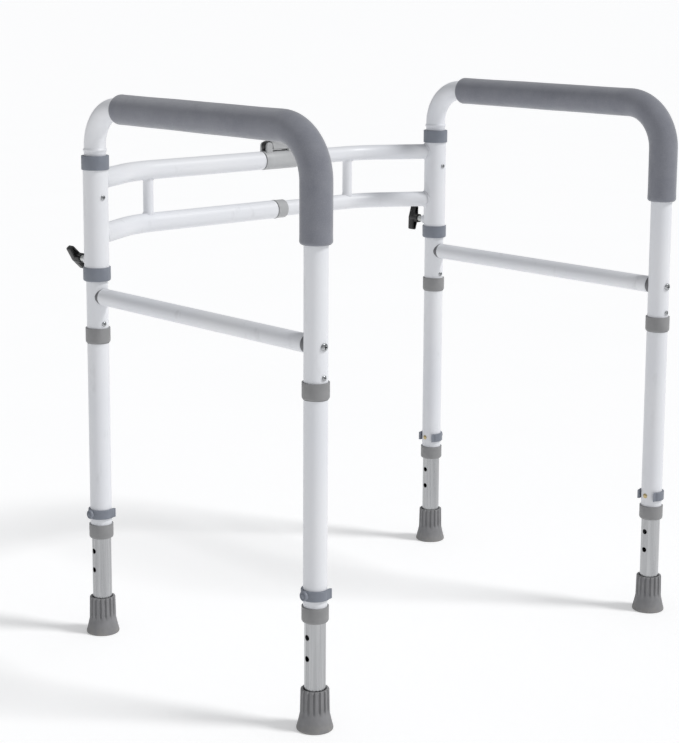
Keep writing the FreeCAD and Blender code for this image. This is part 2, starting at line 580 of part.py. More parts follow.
def make_sleeve(side):
    """Sleeve on the rear leg, with its collars, small screw and the knob's welded nut."""
    name = SIDE_NAMES[side]
    height = f"({SLEEVE_TOP_Z} - {SLEEVE_LOW_Z})"
    sleeve = cut(pipe(SLEEVE_DIA, SLEEVE_BORE, height, SLEEVE_LOW_Z),
                 [rod(BOLT_HOLE, SLEEVE_DIA, z=KNOB_Z, turn=ALONG_Y),
                  rod("joint_screw_dia", SLEEVE_DIA, 0, f"-{SLEEVE_DIA}", SLEEVE_SCREW_Z,
                      ALONG_Y)])
    at_rear_leg(sleeve, side, name + "_sleeve")

    collars = []
    for end_z, lip_z in ((LOWER_COLLAR_Z, LOWER_COLLAR_Z), (UPPER_COLLAR_Z, SLEEVE_TOP_Z)):
        shell = rod(SLEEVE_COLLAR_DIA, "sleeve_collar_height", z=end_z)
        guide = rod("leg_dia + 2 * slide_fit", "sleeve_collar_lip", z=lip_z)
        seat = rod(SLEEVE_DIA, height, z=SLEEVE_LOW_Z)
        collars.append(cut(shell, [guide, seat]))
    at_rear_leg(group(collars), side, name + "_sleeve_collars")

    screw_y = f"-{SLEEVE_DIA} / 2"
    shank = rod("joint_screw_dia", "sleeve_wall", 0, screw_y, SLEEVE_SCREW_Z, ALONG_Y)
    head = cone("joint_screw_head", "joint_screw_head / 2", "joint_screw_head / 3",
                0, screw_y, SLEEVE_SCREW_Z, along(0, -1, 0))
    at_rear_leg(join([shank, head]), side, name + "_sleeve_screw")

    nut = cut(rod("nut_dia", NUT_FACE, z=KNOB_Z, turn=ALONG_Y),
              [rod(SLEEVE_DIA, height, z=SLEEVE_LOW_Z),
               rod(BOLT_HOLE, NUT_FACE, z=KNOB_Z, turn=ALONG_Y)])
    at_rear_leg(nut, side, name + "_weld_nut")


def bent_rail(side, label, end_x, outer, inner=None):
    """A rail along its path: straight from its inner end, then slanted forward to the leg.

    It is drawn from its inner end along -X, and turned over for the right side.
    """
    reach = f"(leg_spacing / 2 + {end_x})"
    straight = f"({end_x} + {CORNER_X})"
    points = [("0", "0"), (f"-{straight}", "0"), (f"-{reach}", "-rail_offset")]
    return bent_tube(label, "XY_Plane", "YZ_Plane", points, ["rail_bend"], outer, inner)


def turned_over(side):
    return Rotation(Vector(0, 1, 0), 180 if side == RIGHT else 0)


def make_rail(side, label, end_x, rail_z, outer, wall):
    """A rail from its inner end to its sleeve, its end cut to the sleeve's curve."""
    rail = bent_rail(side, label + "_sweep", end_x, outer, f"({outer} - 2 * {wall})")
    sleeve = rod(SLEEVE_DIA, f"4 * {outer}", f"-(leg_spacing / 2 + {end_x})", "-rail_offset",
                 f"-2 * {outer}")
    coped = cut(rail, [sleeve])
    place(coped, f"{-side} * {end_x}", RAIL_Y, rail_z, turned_over(side))
    name_part(coped, label)


def make_strut(side, rail_ends, rail_dia):
    """Upright between a bracket's two rails, its ends cut to their curve."""
    label = SIDE_NAMES[side] + "_strut"
    rails = [place(bent_rail(side, f"{label}_{level}_cut", rail_ends[level], rail_dia),
                   f"{-side} * ({rail_ends[level]} + {STRUT_X})", 0, z, turned_over(side))
             for level, z in RAIL_LEVELS.items()]
    upright = rod("strut_dia", f"{UPPER_RAIL_Z} - {LOWER_RAIL_Z}", z=LOWER_RAIL_Z)
    strut = cut(upright, rails)
    place(strut, f"{side} * {STRUT_X}", RAIL_Y)
    name_part(strut, label)


def make_rail_plugs():
    """End plugs in the right rails' inner ends."""
    dia = f"{INNER_RAIL_DIA} - 2 * inner_rail_wall"
    plugs = [rod(dia, "plug_length", f"-{INNER_RAIL_END}", RAIL_Y, z, ALONG_X)
             for z in RAIL_LEVELS.values()]
    name_part(group(plugs), "right_rail_plugs")


def barrel(length):
    """A collar past a left rail's end, with a spigot in the rail."""
    return [rod(RAIL_COLLAR_DIA, length, turn=ALONG_X),
            rod(OUTER_RAIL_BORE, "rail_spigot", "-rail_spigot", turn=ALONG_X)]


def barrel_bore(length):
    """The running fit on the right rail, through a collar and its spigot."""
    return rod(f"{INNER_RAIL_DIA} + 2 * slide_fit", f"{length} + rail_spigot", "-rail_spigot",
               turn=ALONG_X)


def at_rail_end(item, end_x, rail_z, label):
    place(item, end_x, RAIL_Y, rail_z)
    return name_part(item, label)


def make_clamp():
    """Quick-release clamp on the upper rail: split barrel with ears, lever and pivot pin."""
    ears_x = "pivot_inset - ear_dia / 2"
    ears = [block("ear_dia", "clamp_width", PIVOT_Z, ears_x),
            rod("ear_dia", "clamp_width", "pivot_inset", "-clamp_width / 2", PIVOT_Z,
                ALONG_Y)]
    stop_x = "(pivot_inset + lever_tip + lever_gap)"
    stop = block(f"clamp_length - {stop_x}", "clamp_width", CLAMP_TOP, stop_x)
    slot = block("2 * ear_dia", "lever_neck + lever_gap", CLAMP_TOP,
                 "pivot_inset - ear_dia", z=BARREL_TOP)
    pin_hole = rod("lever_pin_dia", "2 * clamp_width", "pivot_inset", "-clamp_width",
                   PIVOT_Z, ALONG_Y)
    slit_x = "pivot_inset + ear_dia / 2"
    slit = block(f"clamp_length - ({slit_x})", "clamp_slit", CLAMP_TOP, slit_x)
    body = cut(join(barrel("clamp_length") + ears + [stop]),
               [barrel_bore("clamp_length"), slot, pin_hole, slit])
    at_rail_end(body, UPPER_RAIL_END, UPPER_RAIL_Z, "clamp_body")

    plate_x = "(pivot_inset + ear_dia / 2 + lever_gap)"
    plate_z = f"({BARREL_TOP} + lever_gap)"
    plate = block(f"pivot_inset + lever_tip - {plate_x}", "clamp_width",
                  f"{CLAMP_TOP} - {plate_z}", plate_x, z=plate_z)
    neck = block(f"{plate_x} - pivot_inset", "lever_neck", f"{CLAMP_TOP} - {PIVOT_Z}",
                 "pivot_inset", z=PIVOT_Z)
    cam = rod(f"2 * ({PIVOT_Z} - {plate_z})", "lever_neck", "pivot_inset", "-lever_neck / 2",
              PIVOT_Z, ALONG_Y)
    pivot = rod("lever_pin_dia + 2 * slide_fit", "2 * clamp_width", "pivot_inset",
                "-clamp_width", PIVOT_Z, ALONG_Y)
    lever = cut(join([plate, neck, cam]), [pivot])
    at_rail_end(lever, UPPER_RAIL_END, UPPER_RAIL_Z, "clamp_lever")

    pin = rod("lever_pin_dia", "clamp_width", "pivot_inset", "-clamp_width / 2",
              PIVOT_Z, ALONG_Y)
    at_rail_end(group([pin]), UPPER_RAIL_END, UPPER_RAIL_Z, "clamp_pin")


def make_knob(side):
    """Two-winged thumb knob and its bolt, drawn round the bolt's axis along +Y."""
    name = SIDE_NAMES[side]
    face = f"({KNOB_START} + knob_hub_length)"
    hub = rod("knob_hub_dia", "knob_hub_length + wing_depth / 2", 0, KNOB_START, 0, ALONG_Y)
    wings = []
    for tilt, back in ((90, f"{face} + wing_depth"), (-90, face)):
        wing = doc.addObject("Part::Wedge", "Wing")
        bind(wing, Xmin="-wing_width / 2", Xmax="wing_width / 2", Ymin=0,
             Ymax="wing_length / 2", Zmin=0, Zmax="wing_depth", X2min="-wing_tip / 2",
             X2max="wing_tip / 2", Z2min=0, Z2max="wing_depth")
        wings.append(place(wing, 0, back, 0, Rotation(Vector(1, 0, 0), tilt)))
    tip = "(leg_dia / 2 + bolt_tip_gap)"
    bolt_length = f"{face} + wing_depth / 2 - {tip}"
    bore = rod("bolt_dia", bolt_length, 0, tip, 0, ALONG_Y)
    bolt = rod("bolt_dia", bolt_length, 0, tip, 0, ALONG_Y)
    turn = {LEFT: "left_knob_turn", RIGHT: "right_knob_turn"}[side]
    for item, label in ((cut(join([hub] + wings), [bore]), "_knob"),
                        (group([bolt]), "_knob_bolt")):
        turn_to(item, turn, Vector(0, 1, 0))
        bind(item, **{"Placement.Base.x": f"{side} * leg_spacing / 2",
                      "Placement.Base.y": REAR_Y, "Placement.Base.z": KNOB_Z})
        name_part(item, name + label)


# ---------------------------------------------------------------- the whole frame
def make_all():
    for side, name in SIDE_NAMES.items():
        make_handrail_tube(side, name + "_handrail_tube")
        make_grip(side, name + "_foam_grip")
        make_side_rail(side)
        make_leg_joints(side)
        make_lower_legs(side)
        for end_name in LEG_ENDS:
            make_extension(side, end_name)
        make_sleeve(side)
        make_knob(side)
    for level, rail_z in RAIL_LEVELS.items():
        make_rail(LEFT, f"left_{level}_rail", LEFT_RAIL_ENDS[level], rail_z,
                  "outer_rail_dia", "outer_rail_wall")
        make_rail(RIGHT, f"right_{level}_rail", RIGHT_RAIL_ENDS[level], rail_z,
                  INNER_RAIL_DIA, "inner_rail_wall")
    make_strut(LEFT, LEFT_RAIL_ENDS, "outer_rail_dia")
    make_strut(RIGHT, RIGHT_RAIL_ENDS, INNER_RAIL_DIA)
    make_rail_plugs()
    collar = cut(join(barrel("rail_collar_length")), [barrel_bore("rail_collar_length")])
    at_rail_end(collar, LOWER_RAIL_END, LOWER_RAIL_Z, "lower_rail_collar")
    make_clamp()


def check_all():
    """Stop if anything in the document failed, or a sub-part has no valid solid."""
    failed = [item.Name for item in doc.Objects
              if "Invalid" in item.State or "Error" in item.State]
    if failed:
        raise RuntimeError(f"failed objects: {failed}")
    for item in parts:
        shape = item.Shape
        if shape.isNull() or not shape.isValid() or not shape.Solids:
            raise RuntimeError(f"bad shape: {item.Label}")
    labels = [item.Label for item in parts]
    if len(set(labels)) != len(labels):
        raise RuntimeError("two sub-parts have one label")


make_all()
doc.recompute()
check_all()
os.makedirs("parts", exist_ok=True)
for item in parts:
    item.Shape.exportStep(f"parts/{item.Label}.step")
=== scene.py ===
"""Looks of the toilet safety frame, in metres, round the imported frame.

Tubes, collars, feet, knobs, clips and the clamp are surfaces worked out from the sizes of
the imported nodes. +Z is up, +Y is to the rear, and the origin is on the floor.
"""
import math
import bpy
import numpy as np
from mathutils import Matrix, Vector


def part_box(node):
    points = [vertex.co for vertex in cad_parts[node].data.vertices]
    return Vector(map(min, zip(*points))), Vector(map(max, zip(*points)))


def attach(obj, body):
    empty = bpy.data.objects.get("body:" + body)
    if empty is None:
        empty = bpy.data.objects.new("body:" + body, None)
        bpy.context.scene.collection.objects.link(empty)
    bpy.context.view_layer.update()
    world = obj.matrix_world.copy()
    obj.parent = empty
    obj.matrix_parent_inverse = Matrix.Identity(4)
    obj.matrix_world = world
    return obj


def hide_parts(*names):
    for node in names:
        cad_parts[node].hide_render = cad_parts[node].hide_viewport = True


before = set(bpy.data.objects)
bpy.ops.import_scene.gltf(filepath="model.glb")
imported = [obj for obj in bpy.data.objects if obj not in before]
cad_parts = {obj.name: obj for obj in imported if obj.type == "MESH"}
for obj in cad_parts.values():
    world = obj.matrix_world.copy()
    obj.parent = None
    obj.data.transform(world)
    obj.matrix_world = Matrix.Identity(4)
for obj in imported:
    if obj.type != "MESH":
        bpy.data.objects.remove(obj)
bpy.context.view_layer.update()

MM = 0.001


def mm(*lengths):
    """Lengths in millimetres, as metres."""
    return np.array(lengths) * MM


UP = np.array([0.0, 0.0, 1.0])
REARWARD = np.array([0.0, 1.0, 0.0])
RIGHTWARD = np.array([1.0, 0.0, 0.0])
SIDES = {"left": -1.0, "right": 1.0}
ENDS = {"front": -1.0, "rear": 1.0}


# ---- sizes of the nodes
def low(node):
    """The lower corner of a node's box."""
    return np.array(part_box(node)[0])


def high(node):
    """The upper corner of a node's box."""
    return np.array(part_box(node)[1])


def middle(node):
    """The middle of a node's box."""
    return (low(node) + high(node)) / 2


def size(node):
    """The lengths of a node's box."""
    return high(node) - low(node)


def leg_axis(side, end):
    """The foot of a leg's axis, on the floor."""
    return middle(f"{side}_{end}_extension") * (1, 1, 0)


LEG_R = size("left_front_leg_tube")[0] / 2
LEG_WALL = 1.2 * MM
GRIP_R = size("left_foam_grip")[0] / 2
SLEEVE_R = size("left_sleeve")[0] / 2
SLEEVE_WALL = 1.5 * MM
SIDE_RAIL_R = size("left_side_rail")[0] / 2
OUTER_RAIL_R = size("left_upper_rail")[2] / 2
INNER_RAIL_R = size("right_upper_rail")[2] / 2
STRUT_R = size("left_strut")[0] / 2
EXTENSION_R = size("left_front_extension")[0] / 2
HANDRAIL_Z = high("left_handrail_tube")[2] - LEG_R
JOINT_Z = low("left_handrail_tube")[2]
LEG_END_Z = low("left_front_leg_tube")[2]
SIDE_RAIL_Z = middle("left_side_rail")[2]
LOCK_Z = middle("left_lock_pins")[2]
KNOB_Z = middle("left_knob_bolt")[2]
RAIL_Y = high("left_upper_rail")[1] - OUTER_RAIL_R
REAR_BEND, FRONT_BEND = mm(50, 58)
RAIL_BEND, RAIL_SLANT = 120 * MM, math.radians(30)
STOP_BEAD_GAP, STOP_BEAD_RISE, STOP_BEAD_HALF = mm(7, 1.2, 3)
AROUND = 56

# Sizes of the details, which the plain nodes leave out.
LIP, SLIDE_PLAY, FLAT_EDGE, POLE_R = mm(0.35, 0.05, 0.1, 0.2)
DOME_END = 0.96
SLIDE_BORE = INNER_RAIL_R + SLIDE_PLAY
WELD, STRUT_WELD, NUT_WELD, WELD_SINK = mm(1.5, 1.1, 1.0, 0.4)
WELD_RIPPLE, WELD_RIPPLES, STRUT_REACH = 0.10, 26, 0.8
FOAM_ROUND, FOAM_STEP, FOAM_SLACK, FOAM_PLAY = 4 * MM, 6 * MM, 0.012, 0.1 * MM
FOAM_WAVES = ((31 * MM, 2, 0), (17 * MM, -1, 1), (53 * MM, 3, 0))
SADDLE_HOLE, SADDLE_EDGE = mm(3.1, 0.4)
SLOT_SOFT, SLOT_WIDTH, SLOT_LENGTH, SLOT_DEPTH = 0.35 * MM, 0.14, 0.6, 0.75
HEAD_RIM, HEAD_SINK, HEAD_MIDDLE, HEAD_AROUND = 0.35, 0.2 * MM, 0.06, 48
RAIL_HEAD_R, RAIL_HEAD_RISE = mm(4.7, 2.8)
SMALL_HEAD_R, SMALL_HEAD_RISE = mm(3.2, 2.1)
JOINT_COLLAR_R = size("left_joint_collars")[0] / 2
BOTTOM_COLLAR_R = size("left_bottom_collars")[0] / 2
COLLAR_ROUNDS = mm(0.5, 0.5, 3.4, 0.5)
SLEEVE_COLLAR_R = size("left_sleeve_collars")[0] / 2
SLEEVE_COLLAR_HEIGHT = 18 * MM
SLEEVE_COLLAR_ROUNDS = mm(0.4, 0, 0, 0.5, 0.5)
LOWER_COLLAR_FOOT, UPPER_COLLAR_FOOT = mm(2.6, 0.9)
CLIP_WALL, CLIP_HEIGHT, CLIP_OPENING = 2.6 * MM, 12 * MM, math.radians(90)
CLIP_ROUNDS = mm(0.2, 0.9, 0.9, 0.2)
CLIP_CURL, CLIP_CURL_ANGLE = 2.6 * MM, math.radians(16)
CLIP_RIB, CLIP_RIBS, CLIP_RIBBED = 0.5 * MM, 4, math.radians(30)
BOSS = mm((0.2, -2.1), (6.0, -2.1), (6.0, 1.3), (5.6, 2.21), (5.0, 2.6), (3.95, 2.6),
          (3.65, 1.95))
PIN_R, PIN_PLAY, PIN_DOME, PIN_TIP = mm(3.35, 0.05, 1.1, 1.5)
SOLE, SOLE_R, TREAD_RINGS = 8 * MM, 2 * MM, mm(6, 11, 16)
TREAD = mm((0, 0), (0.4, 1.2), (1.6, 1.2), (2.0, 0))
FOOT_RIM, FOOT_FLARE, FOOT_HOLLOW = 3 * MM, 20 * MM, 0.85
FOOT_EDGE = mm((1.0, 0), (0.2, 0.6), (0, 1.6), (0.1, 3.0))
FOOT_NECK, FOOT_TOP = mm(17.3, 16.7)
FOOT_TOP_EDGE = mm((0.3, 0.4), (0.9, 0))
FOOT_MOUTH, FOOT_MOUTH_DEPTH = mm(0.9, 3)
MOUTH_EDGE = mm((0.3, 0), (0, 0.4))
FLUTES, FLUTE_LAND, FLUTE_SHAPE, CUP_END = 16, 0.15, 0.6, 0.96
FLUTE_DEPTH, FLUTE_FADE, FLUTE_WALL = mm(2.1, 5, 0.7)
RIM_STEP, RIM_END, RIM_SLOPE = mm(0.5, 2.6, 0.4)
SLIDE_COLLAR_ROUNDS = mm(0, 0.4, 0.2, 0.2, 1.2, 0.3)
BUSH_GAP, BUSH_DEPTH, BUSH_PLAY = mm(1.3, 8, 0.1)
CLAMP_R, CLAMP_SLIT, CLAMP_EDGE = mm(13.5, 2, 0.6)
BARREL_END = mm((0.8, 0), (0.2, 0.3), (0, 0.9))
EAR_X, EAR_R, EAR_GAP, EAR_EDGE = mm(10, 5.2, 0.4, 0.8)
EAR_FOOT, STOP_FOOT, STOP_GAP = mm(3, 9, 0.8)
STOP_ROUNDS = mm(0, 0, 2.2, 0.6)
LEVER_NECK, LEVER_GAP, LEVER_SLANT, LEVER_EDGE = mm(7, 1.2, 4, 1.0)
LEVER_ROUNDS = mm(0.6, 0.8, 1.0, 1.0)
CAM_R, CAM_HOLD, CAM_EDGE = mm(6.6, 2, 0.5)
PIVOT_PIN_R, PIVOT_PIN_SINK, PIVOT_PIN_DOME = mm(2, 0.4, 0.5)
BOLT_R, BOLT_POLE, BOLT_TIP, BOLT_NECK, BOLT_HOLD = mm(4, 1, 0.8, 0.5, 2)
THREAD, THREAD_DEPTH = mm(1.25, 0.45)
NUT_BORE, NUT_MOUTH, NUT_CHAMFER = BOLT_R + 0.1 * MM, 0.6 * MM, 0.8 * MM
NUT_INNER_SINK, NUT_OUTER_SINK = mm(0.5, 2)
HUB_R, HUB_RIBS, HUB_RIB_DEPTH, HUB_SEAT = 6.5 * MM, 6, 1.7 * MM, 3 * MM
HUB_SKIN, HUB_ROUNDS = 1 * MM, mm(0, 0.8, 0.3, 0)
WING_DEPTH, WING_EDGE, WING_RIM, WING_DISH = mm(10, 1.2, 0.5, 3.5)
WING_MID, WING_END, WING_HALF = mm(6, 3.5, 18)
WING_ROUNDS = mm(2.5, 2, 2, 2.5, 2, 2)
KNOB_TURN = {"left": math.radians(-38), "right": math.radians(9)}
FLOOR_REACH, FLOOR_GLOW, SKY = 60.0, 0.26, 0.40
SKY_TINT, WHITE = (0.97, 0.98, 1.0, 1.0), (1.0, 1.0, 1.0, 1.0)
KEY_POWER, KEY_SOFTNESS, KEY_WAY = 1.75, 14.0, (-0.85, 1.25, -1.7)
CAMERA_AT, CAMERA_TURN = (-1.6300, -1.7336, 0.8586), (42.243, 9.542, 0.289)
CAMERA_LENS, CAMERA_SHIFT = 88.5, -0.12


# ---- finishes
def screen(red, green, blue):
    """The scene's colour for one given as a screen shows it, from 0 to 255."""
    return tuple(((part / 255 + 0.055) / 1.055) ** 2.4 for part in (red, green, blue)) + (1.0,)


class Finish:
    """A material built up round one Principled shader, on the piece's own coordinates."""

    def __init__(self, name, metallic=0.0, **sockets):
        self.material = bpy.data.materials.new(name)
        self.material.use_nodes = True
        self.tree = self.material.node_tree
        self.shader = self.tree.nodes["Principled BSDF"]
        self.shader.inputs["Metallic"].default_value = metallic
        for socket, value in sockets.items():
            self.shader.inputs[socket.replace("_", " ")].default_value = value
        self.place = self.add("ShaderNodeTexCoord").outputs["Object"]

    def add(self, kind, **inputs):
        """A node, its inputs set to numbers or linked to outputs of other nodes."""
        node = self.tree.nodes.new(kind)
        for name, value in inputs.items():
            self.feed(node.inputs[name], value)
        return node

    def feed(self, socket, value):
        if isinstance(value, bpy.types.NodeSocket):
            self.tree.links.new(value, socket)
        else:
            socket.default_value = value

    def stretched(self, *scale):
        """Coordinates multiplied along X, Y and Z."""
        return self.add("ShaderNodeMapping", Vector=self.place, Scale=scale).outputs["Vector"]

    def noise(self, scale, detail=2.0, vector=None, roughness=0.5):
        node = self.add("ShaderNodeTexNoise", Vector=vector or self.place, Scale=scale,
                        Detail=detail, Roughness=roughness)
        return node.outputs["Fac"]

    def cells(self, scale):
        """Distance to the nearest of scattered points, which makes rounded cells."""
        node = self.add("ShaderNodeTexVoronoi", Vector=self.place, Scale=scale)
        return node.outputs["Distance"]

    def edges(self, low=0.52, high=0.60):
        """1 on sharp outer edges, 0 on flat and hollow places."""
        point = self.add("ShaderNodeNewGeometry").outputs["Pointiness"]
        return self.spread(point, 0.0, 1.0, low, high)

    def height(self, low, high):
        """1 at the lower height, 0 at the higher one."""
        z = self.add("ShaderNodeSeparateXYZ", Vector=self.place).outputs["Z"]
        return self.spread(z, 1.0, 0.0, low, high)

    def spread(self, value, to_low=0.0, to_high=1.0, from_low=0.3, from_high=0.7):
        """A value's range carried to another one, and held at its ends."""
        node = self.add("ShaderNodeMapRange")
        for index, part in enumerate((value, from_low, from_high, to_low, to_high)):
            self.feed(node.inputs[index], part)
        return node.outputs["Result"]

    def times(self, a, b):
        node = self.add("ShaderNodeMath")
        node.operation = "MULTIPLY"
        self.feed(node.inputs[0], a)
        self.feed(node.inputs[1], b)
        return node.outputs["Value"]

    def blend(self, share, a, b):
        """Colour a, going to colour b as the share goes to 1."""
        node = self.tree.nodes.new("ShaderNodeMix")
        node.data_type = "RGBA"
        for socket, value in ((0, share), (6, a), (7, b)):
            self.feed(node.inputs[socket], value)
        return node.outputs[2]

    def colour(self, value):
        self.feed(self.shader.inputs["Base Color"], value)

    def roughness(self, value):
        self.feed(self.shader.inputs["Roughness"], value)

    def bumps(self, *layers):
        """Bump layers, each a height texture, its strength and its depth in metres."""
        normal = None
        for texture, strength, depth in layers:
            node = self.add("ShaderNodeBump", Strength=strength, Distance=depth, Height=texture)
            if normal:
                self.feed(node.inputs["Normal"], normal)
            normal = node.outputs["Normal"]
        self.feed(self.shader.inputs["Normal"], normal)


def powder_coat():
    """White coat baked on steel: orange peel, clouds of warmer white and rare dull scuffs."""
    finish = Finish("white_powder_coat", IOR=1.5, Coat_Weight=0.10, Coat_Roughness=0.25)
    cloud = finish.noise(7.0, 3.0)
    scuff = finish.spread(finish.noise(55.0, 6.0, finish.stretched(1.0, 1.0, 0.35)),
                          0.0, 1.0, 0.63, 0.74)
    white = finish.blend(finish.spread(cloud), screen(226, 228, 233),
                         screen(232, 233, 236))
    worn = finish.blend(finish.edges(0.56, 0.70), white, screen(205, 206, 209))
    finish.colour(finish.blend(finish.times(scuff, 0.35), worn, screen(196, 197, 200)))
    finish.roughness(finish.spread(finish.noise(30.0, 4.0), 0.34, 0.46))
    finish.bumps((finish.noise(620.0, 2.0), 0.10, 0.0003), (finish.noise(2600.0), 0.05, 0.0001))
    return finish.material


def grip_foam():
    """Closed-cell foam: fine cells under a matt skin, with softly mottled grey."""
    finish = Finish("grip_foam", IOR=1.45, Sheen_Weight=0.65, Sheen_Roughness=0.40)
    mottle = finish.spread(finish.noise(38.0, 5.0, roughness=0.6))
    grey = finish.blend(mottle, screen(122, 124, 133), screen(133, 135, 143))
    pale = finish.spread(finish.noise(900.0, 3.0), 0.0, 0.35, 0.45, 0.75)
    cell = finish.blend(pale, grey, screen(152, 154, 160))
    finish.colour(finish.blend(finish.edges(0.53, 0.64), cell, screen(146, 148, 154)))
    finish.roughness(finish.spread(finish.noise(120.0, 3.0), 0.72, 0.88))
    finish.bumps((finish.noise(45.0, 3.0), 0.25, 0.0010), (finish.cells(1100.0), 0.35, 0.0004),
                 (finish.noise(2600.0, 2.0), 0.25, 0.0002))
    return finish.material


def moulded(name, dark, light, worn, roughness, grain=1500.0):
    """Moulded plastic or rubber: a fine spark-eroded grain and paler rubbed edges."""
    finish = Finish(name)
    cloud = finish.spread(finish.noise(60.0, 4.0))
    body = finish.blend(cloud, screen(*dark), screen(*light))
    finish.colour(finish.blend(finish.times(finish.edges(), 0.6), body, screen(*worn)))
    finish.roughness(finish.spread(finish.noise(200.0, 4.0), roughness - 0.06, roughness + 0.06))
    finish.bumps((finish.noise(grain, 2.0), 0.18, 0.0003), (finish.noise(180.0), 0.08, 0.0005))
    return finish.material


def foot_rubber():
    """Moulded rubber with a fine grain, dustier towards the floor."""
    finish = Finish("foot_rubber", IOR=1.5)
    cloud = finish.spread(finish.noise(90.0, 5.0))
    grey = finish.blend(cloud, screen(124, 124, 126), screen(135, 135, 137))
    rubbed = finish.blend(finish.times(finish.edges(), 0.7), grey, screen(150, 150, 150))
    dust = finish.times(finish.height(0.0, 0.014), finish.spread(finish.noise(160.0, 5.0),
                                                                0.0, 0.7, 0.35, 0.65))
    finish.colour(finish.blend(dust, rubbed, screen(146, 143, 138)))
    finish.roughness(finish.spread(finish.noise(240.0, 3.0), 0.55, 0.72))
    finish.bumps((finish.noise(1700.0, 2.0), 0.22, 0.0003), (finish.noise(230.0), 0.10, 0.0006))
    return finish.material


def satin_aluminium():
    """Anodised tube, brushed lengthwise: long fine streaks in its tone and its gloss, and wide
    darker bands along it that are painted reflections.
    """
    finish = Finish("satin_aluminium", metallic=1.0)
    streak = finish.noise(1.0, 4.0, finish.stretched(950.0, 950.0, 9.0))
    # painted reflection: wide dark bands along the tube stand in for reflected dark streaks
    reflection_bands = finish.noise(1.0, 2.0, finish.stretched(160.0, 160.0, 3.0))
    fine = finish.blend(finish.spread(streak), screen(172, 173, 175),
                        screen(204, 205, 206))
    # the painted reflection bands darken the colour towards (150, 151, 153)
    finish.colour(finish.blend(finish.spread(reflection_bands, 0.0, 0.6), fine, screen(150, 151, 153)))
    finish.roughness(finish.spread(streak, 0.22, 0.38))
    finish.bumps((streak, 0.10, 0.0002))
    return finish.material


def plated(name, dark, light, roughness):
    """Plated metal with faint crystal spangle and small rubs."""
    finish = Finish(name, metallic=1.0)
    spangle = finish.spread(finish.cells(700.0), 0.0, 1.0, 0.1, 0.7)
    finish.colour(finish.blend(spangle, screen(*dark), screen(*light)))
    finish.roughness(finish.spread(finish.noise(500.0, 3.0), roughness - 0.08,
                                   roughness + 0.10))
    finish.bumps((finish.noise(1500.0, 2.0), 0.12, 0.0002))
    return finish.material


MOULDED = {
    "blue_grey_plastic": ((118, 123, 133), (128, 133, 143), (150, 154, 163), 0.46),
    "grey_plastic": ((134, 134, 135), (144, 144, 145), (162, 162, 162), 0.50),
    "clamp_plastic": ((168, 169, 170), (178, 179, 180), (196, 197, 198), 0.38),
    # painted shade: the saddles' grey plastic made darker, for the shade between the legs and the
    # rail ends
    "saddle_plastic_painted_shade": ((86, 87, 90), (97, 98, 101), (124, 125, 128), 0.5),
    "black_plastic": ((22, 22, 23), (30, 30, 31), (70, 70, 72), 0.36, 900.0),
    "inner_plastic": ((84, 84, 84), (94, 94, 94), (120, 120, 120), 0.55),
}
PLATED = {
    "zinc_steel": ((176, 178, 178), (204, 206, 204), 0.34),
    # painted shade: zinc steel made darker on the screw heads, for the shade in and round their
    # recesses
    "screw_steel_painted_shade": ((132, 134, 136), (188, 190, 192), 0.26),
    "bare_steel": ((150, 151, 152), (176, 177, 178), 0.38),
    "pin_brass": ((176, 156, 112), (204, 186, 142), 0.32),
}
MATERIALS = {
    "white_powder_coat": powder_coat(),
    "grip_foam": grip_foam(),
    "foot_rubber": foot_rubber(),
    "satin_aluminium": satin_aluminium(),
    **{name: moulded(name, *looks) for name, looks in MOULDED.items()},
    **{name: plated(name, *looks) for name, looks in PLATED.items()},
}


# ---- surfaces
def loft(rows, ends="loop"):
    """A skin over rows of points, each row a closed ring.

    The quads join each point to its neighbour in the ring and to the same point in the next
    row. With ends "loop" the last row joins the first, and with "caps" a flat face closes
    each end. The skin is turned the right way out by the sign of its volume, which is the sum
    of a . (b x c) / 6 over its triangles.
    """
    rows = np.asarray(rows, float)
    count, ring = rows.shape[:2]
    row = np.arange(count if ends == "loop" else count - 1)[:, None]
    column = np.arange(ring)[None, :]
    after = (row + 1) % count
    beside = (column + 1) % ring
    quads = np.stack([row * ring + column, row * ring + beside,
                      after * ring + beside, after * ring + column], -1).reshape(-1, 4)
    points = rows.reshape(-1, 3)
    faces = quads.tolist()
    triangles = [quads[:, [0, 1, 2]], quads[:, [0, 2, 3]]]
    if ends == "caps":
        first = np.arange(ring)[::-1]
        last = np.arange((count - 1) * ring, count * ring)
        faces += [first.tolist(), last.tolist()]
        for cap in (first, last):
            fan = np.stack([np.full(ring - 2, cap[0]), cap[1:-1], cap[2:]], -1)
            triangles.append(fan)
    a, b, c = (points[np.vstack(triangles)[:, corner]] for corner in range(3))
    if (a * np.cross(b, c)).sum() < 0:
        faces = [face[::-1] for face in faces]
    return points, faces


def place(thing):
    """Links an object to the scene."""
    bpy.context.scene.collection.objects.link(thing)


def make_piece(name, skins, material, body, *nodes, sharp=35):
    """One piece from its skins. It rides on a body and stands for the nodes it replaces."""
    points, faces, start = [], [], 0
    for skin_points, skin_faces in skins:
        points.append(skin_points)
        faces += [[start + corner for corner in face] for face in skin_faces]
        start += len(skin_points)
    mesh = bpy.data.meshes.new(name)
    mesh.from_pydata(np.vstack(points), [], faces)
    mesh.shade_smooth()
    mesh.set_sharp_from_angle(angle=math.radians(sharp))
    mesh.materials.append(MATERIALS[material])
    piece = bpy.data.objects.new(name, mesh)
    place(piece)
    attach(piece, body)
    if nodes:
        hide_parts(*nodes)
    return piece


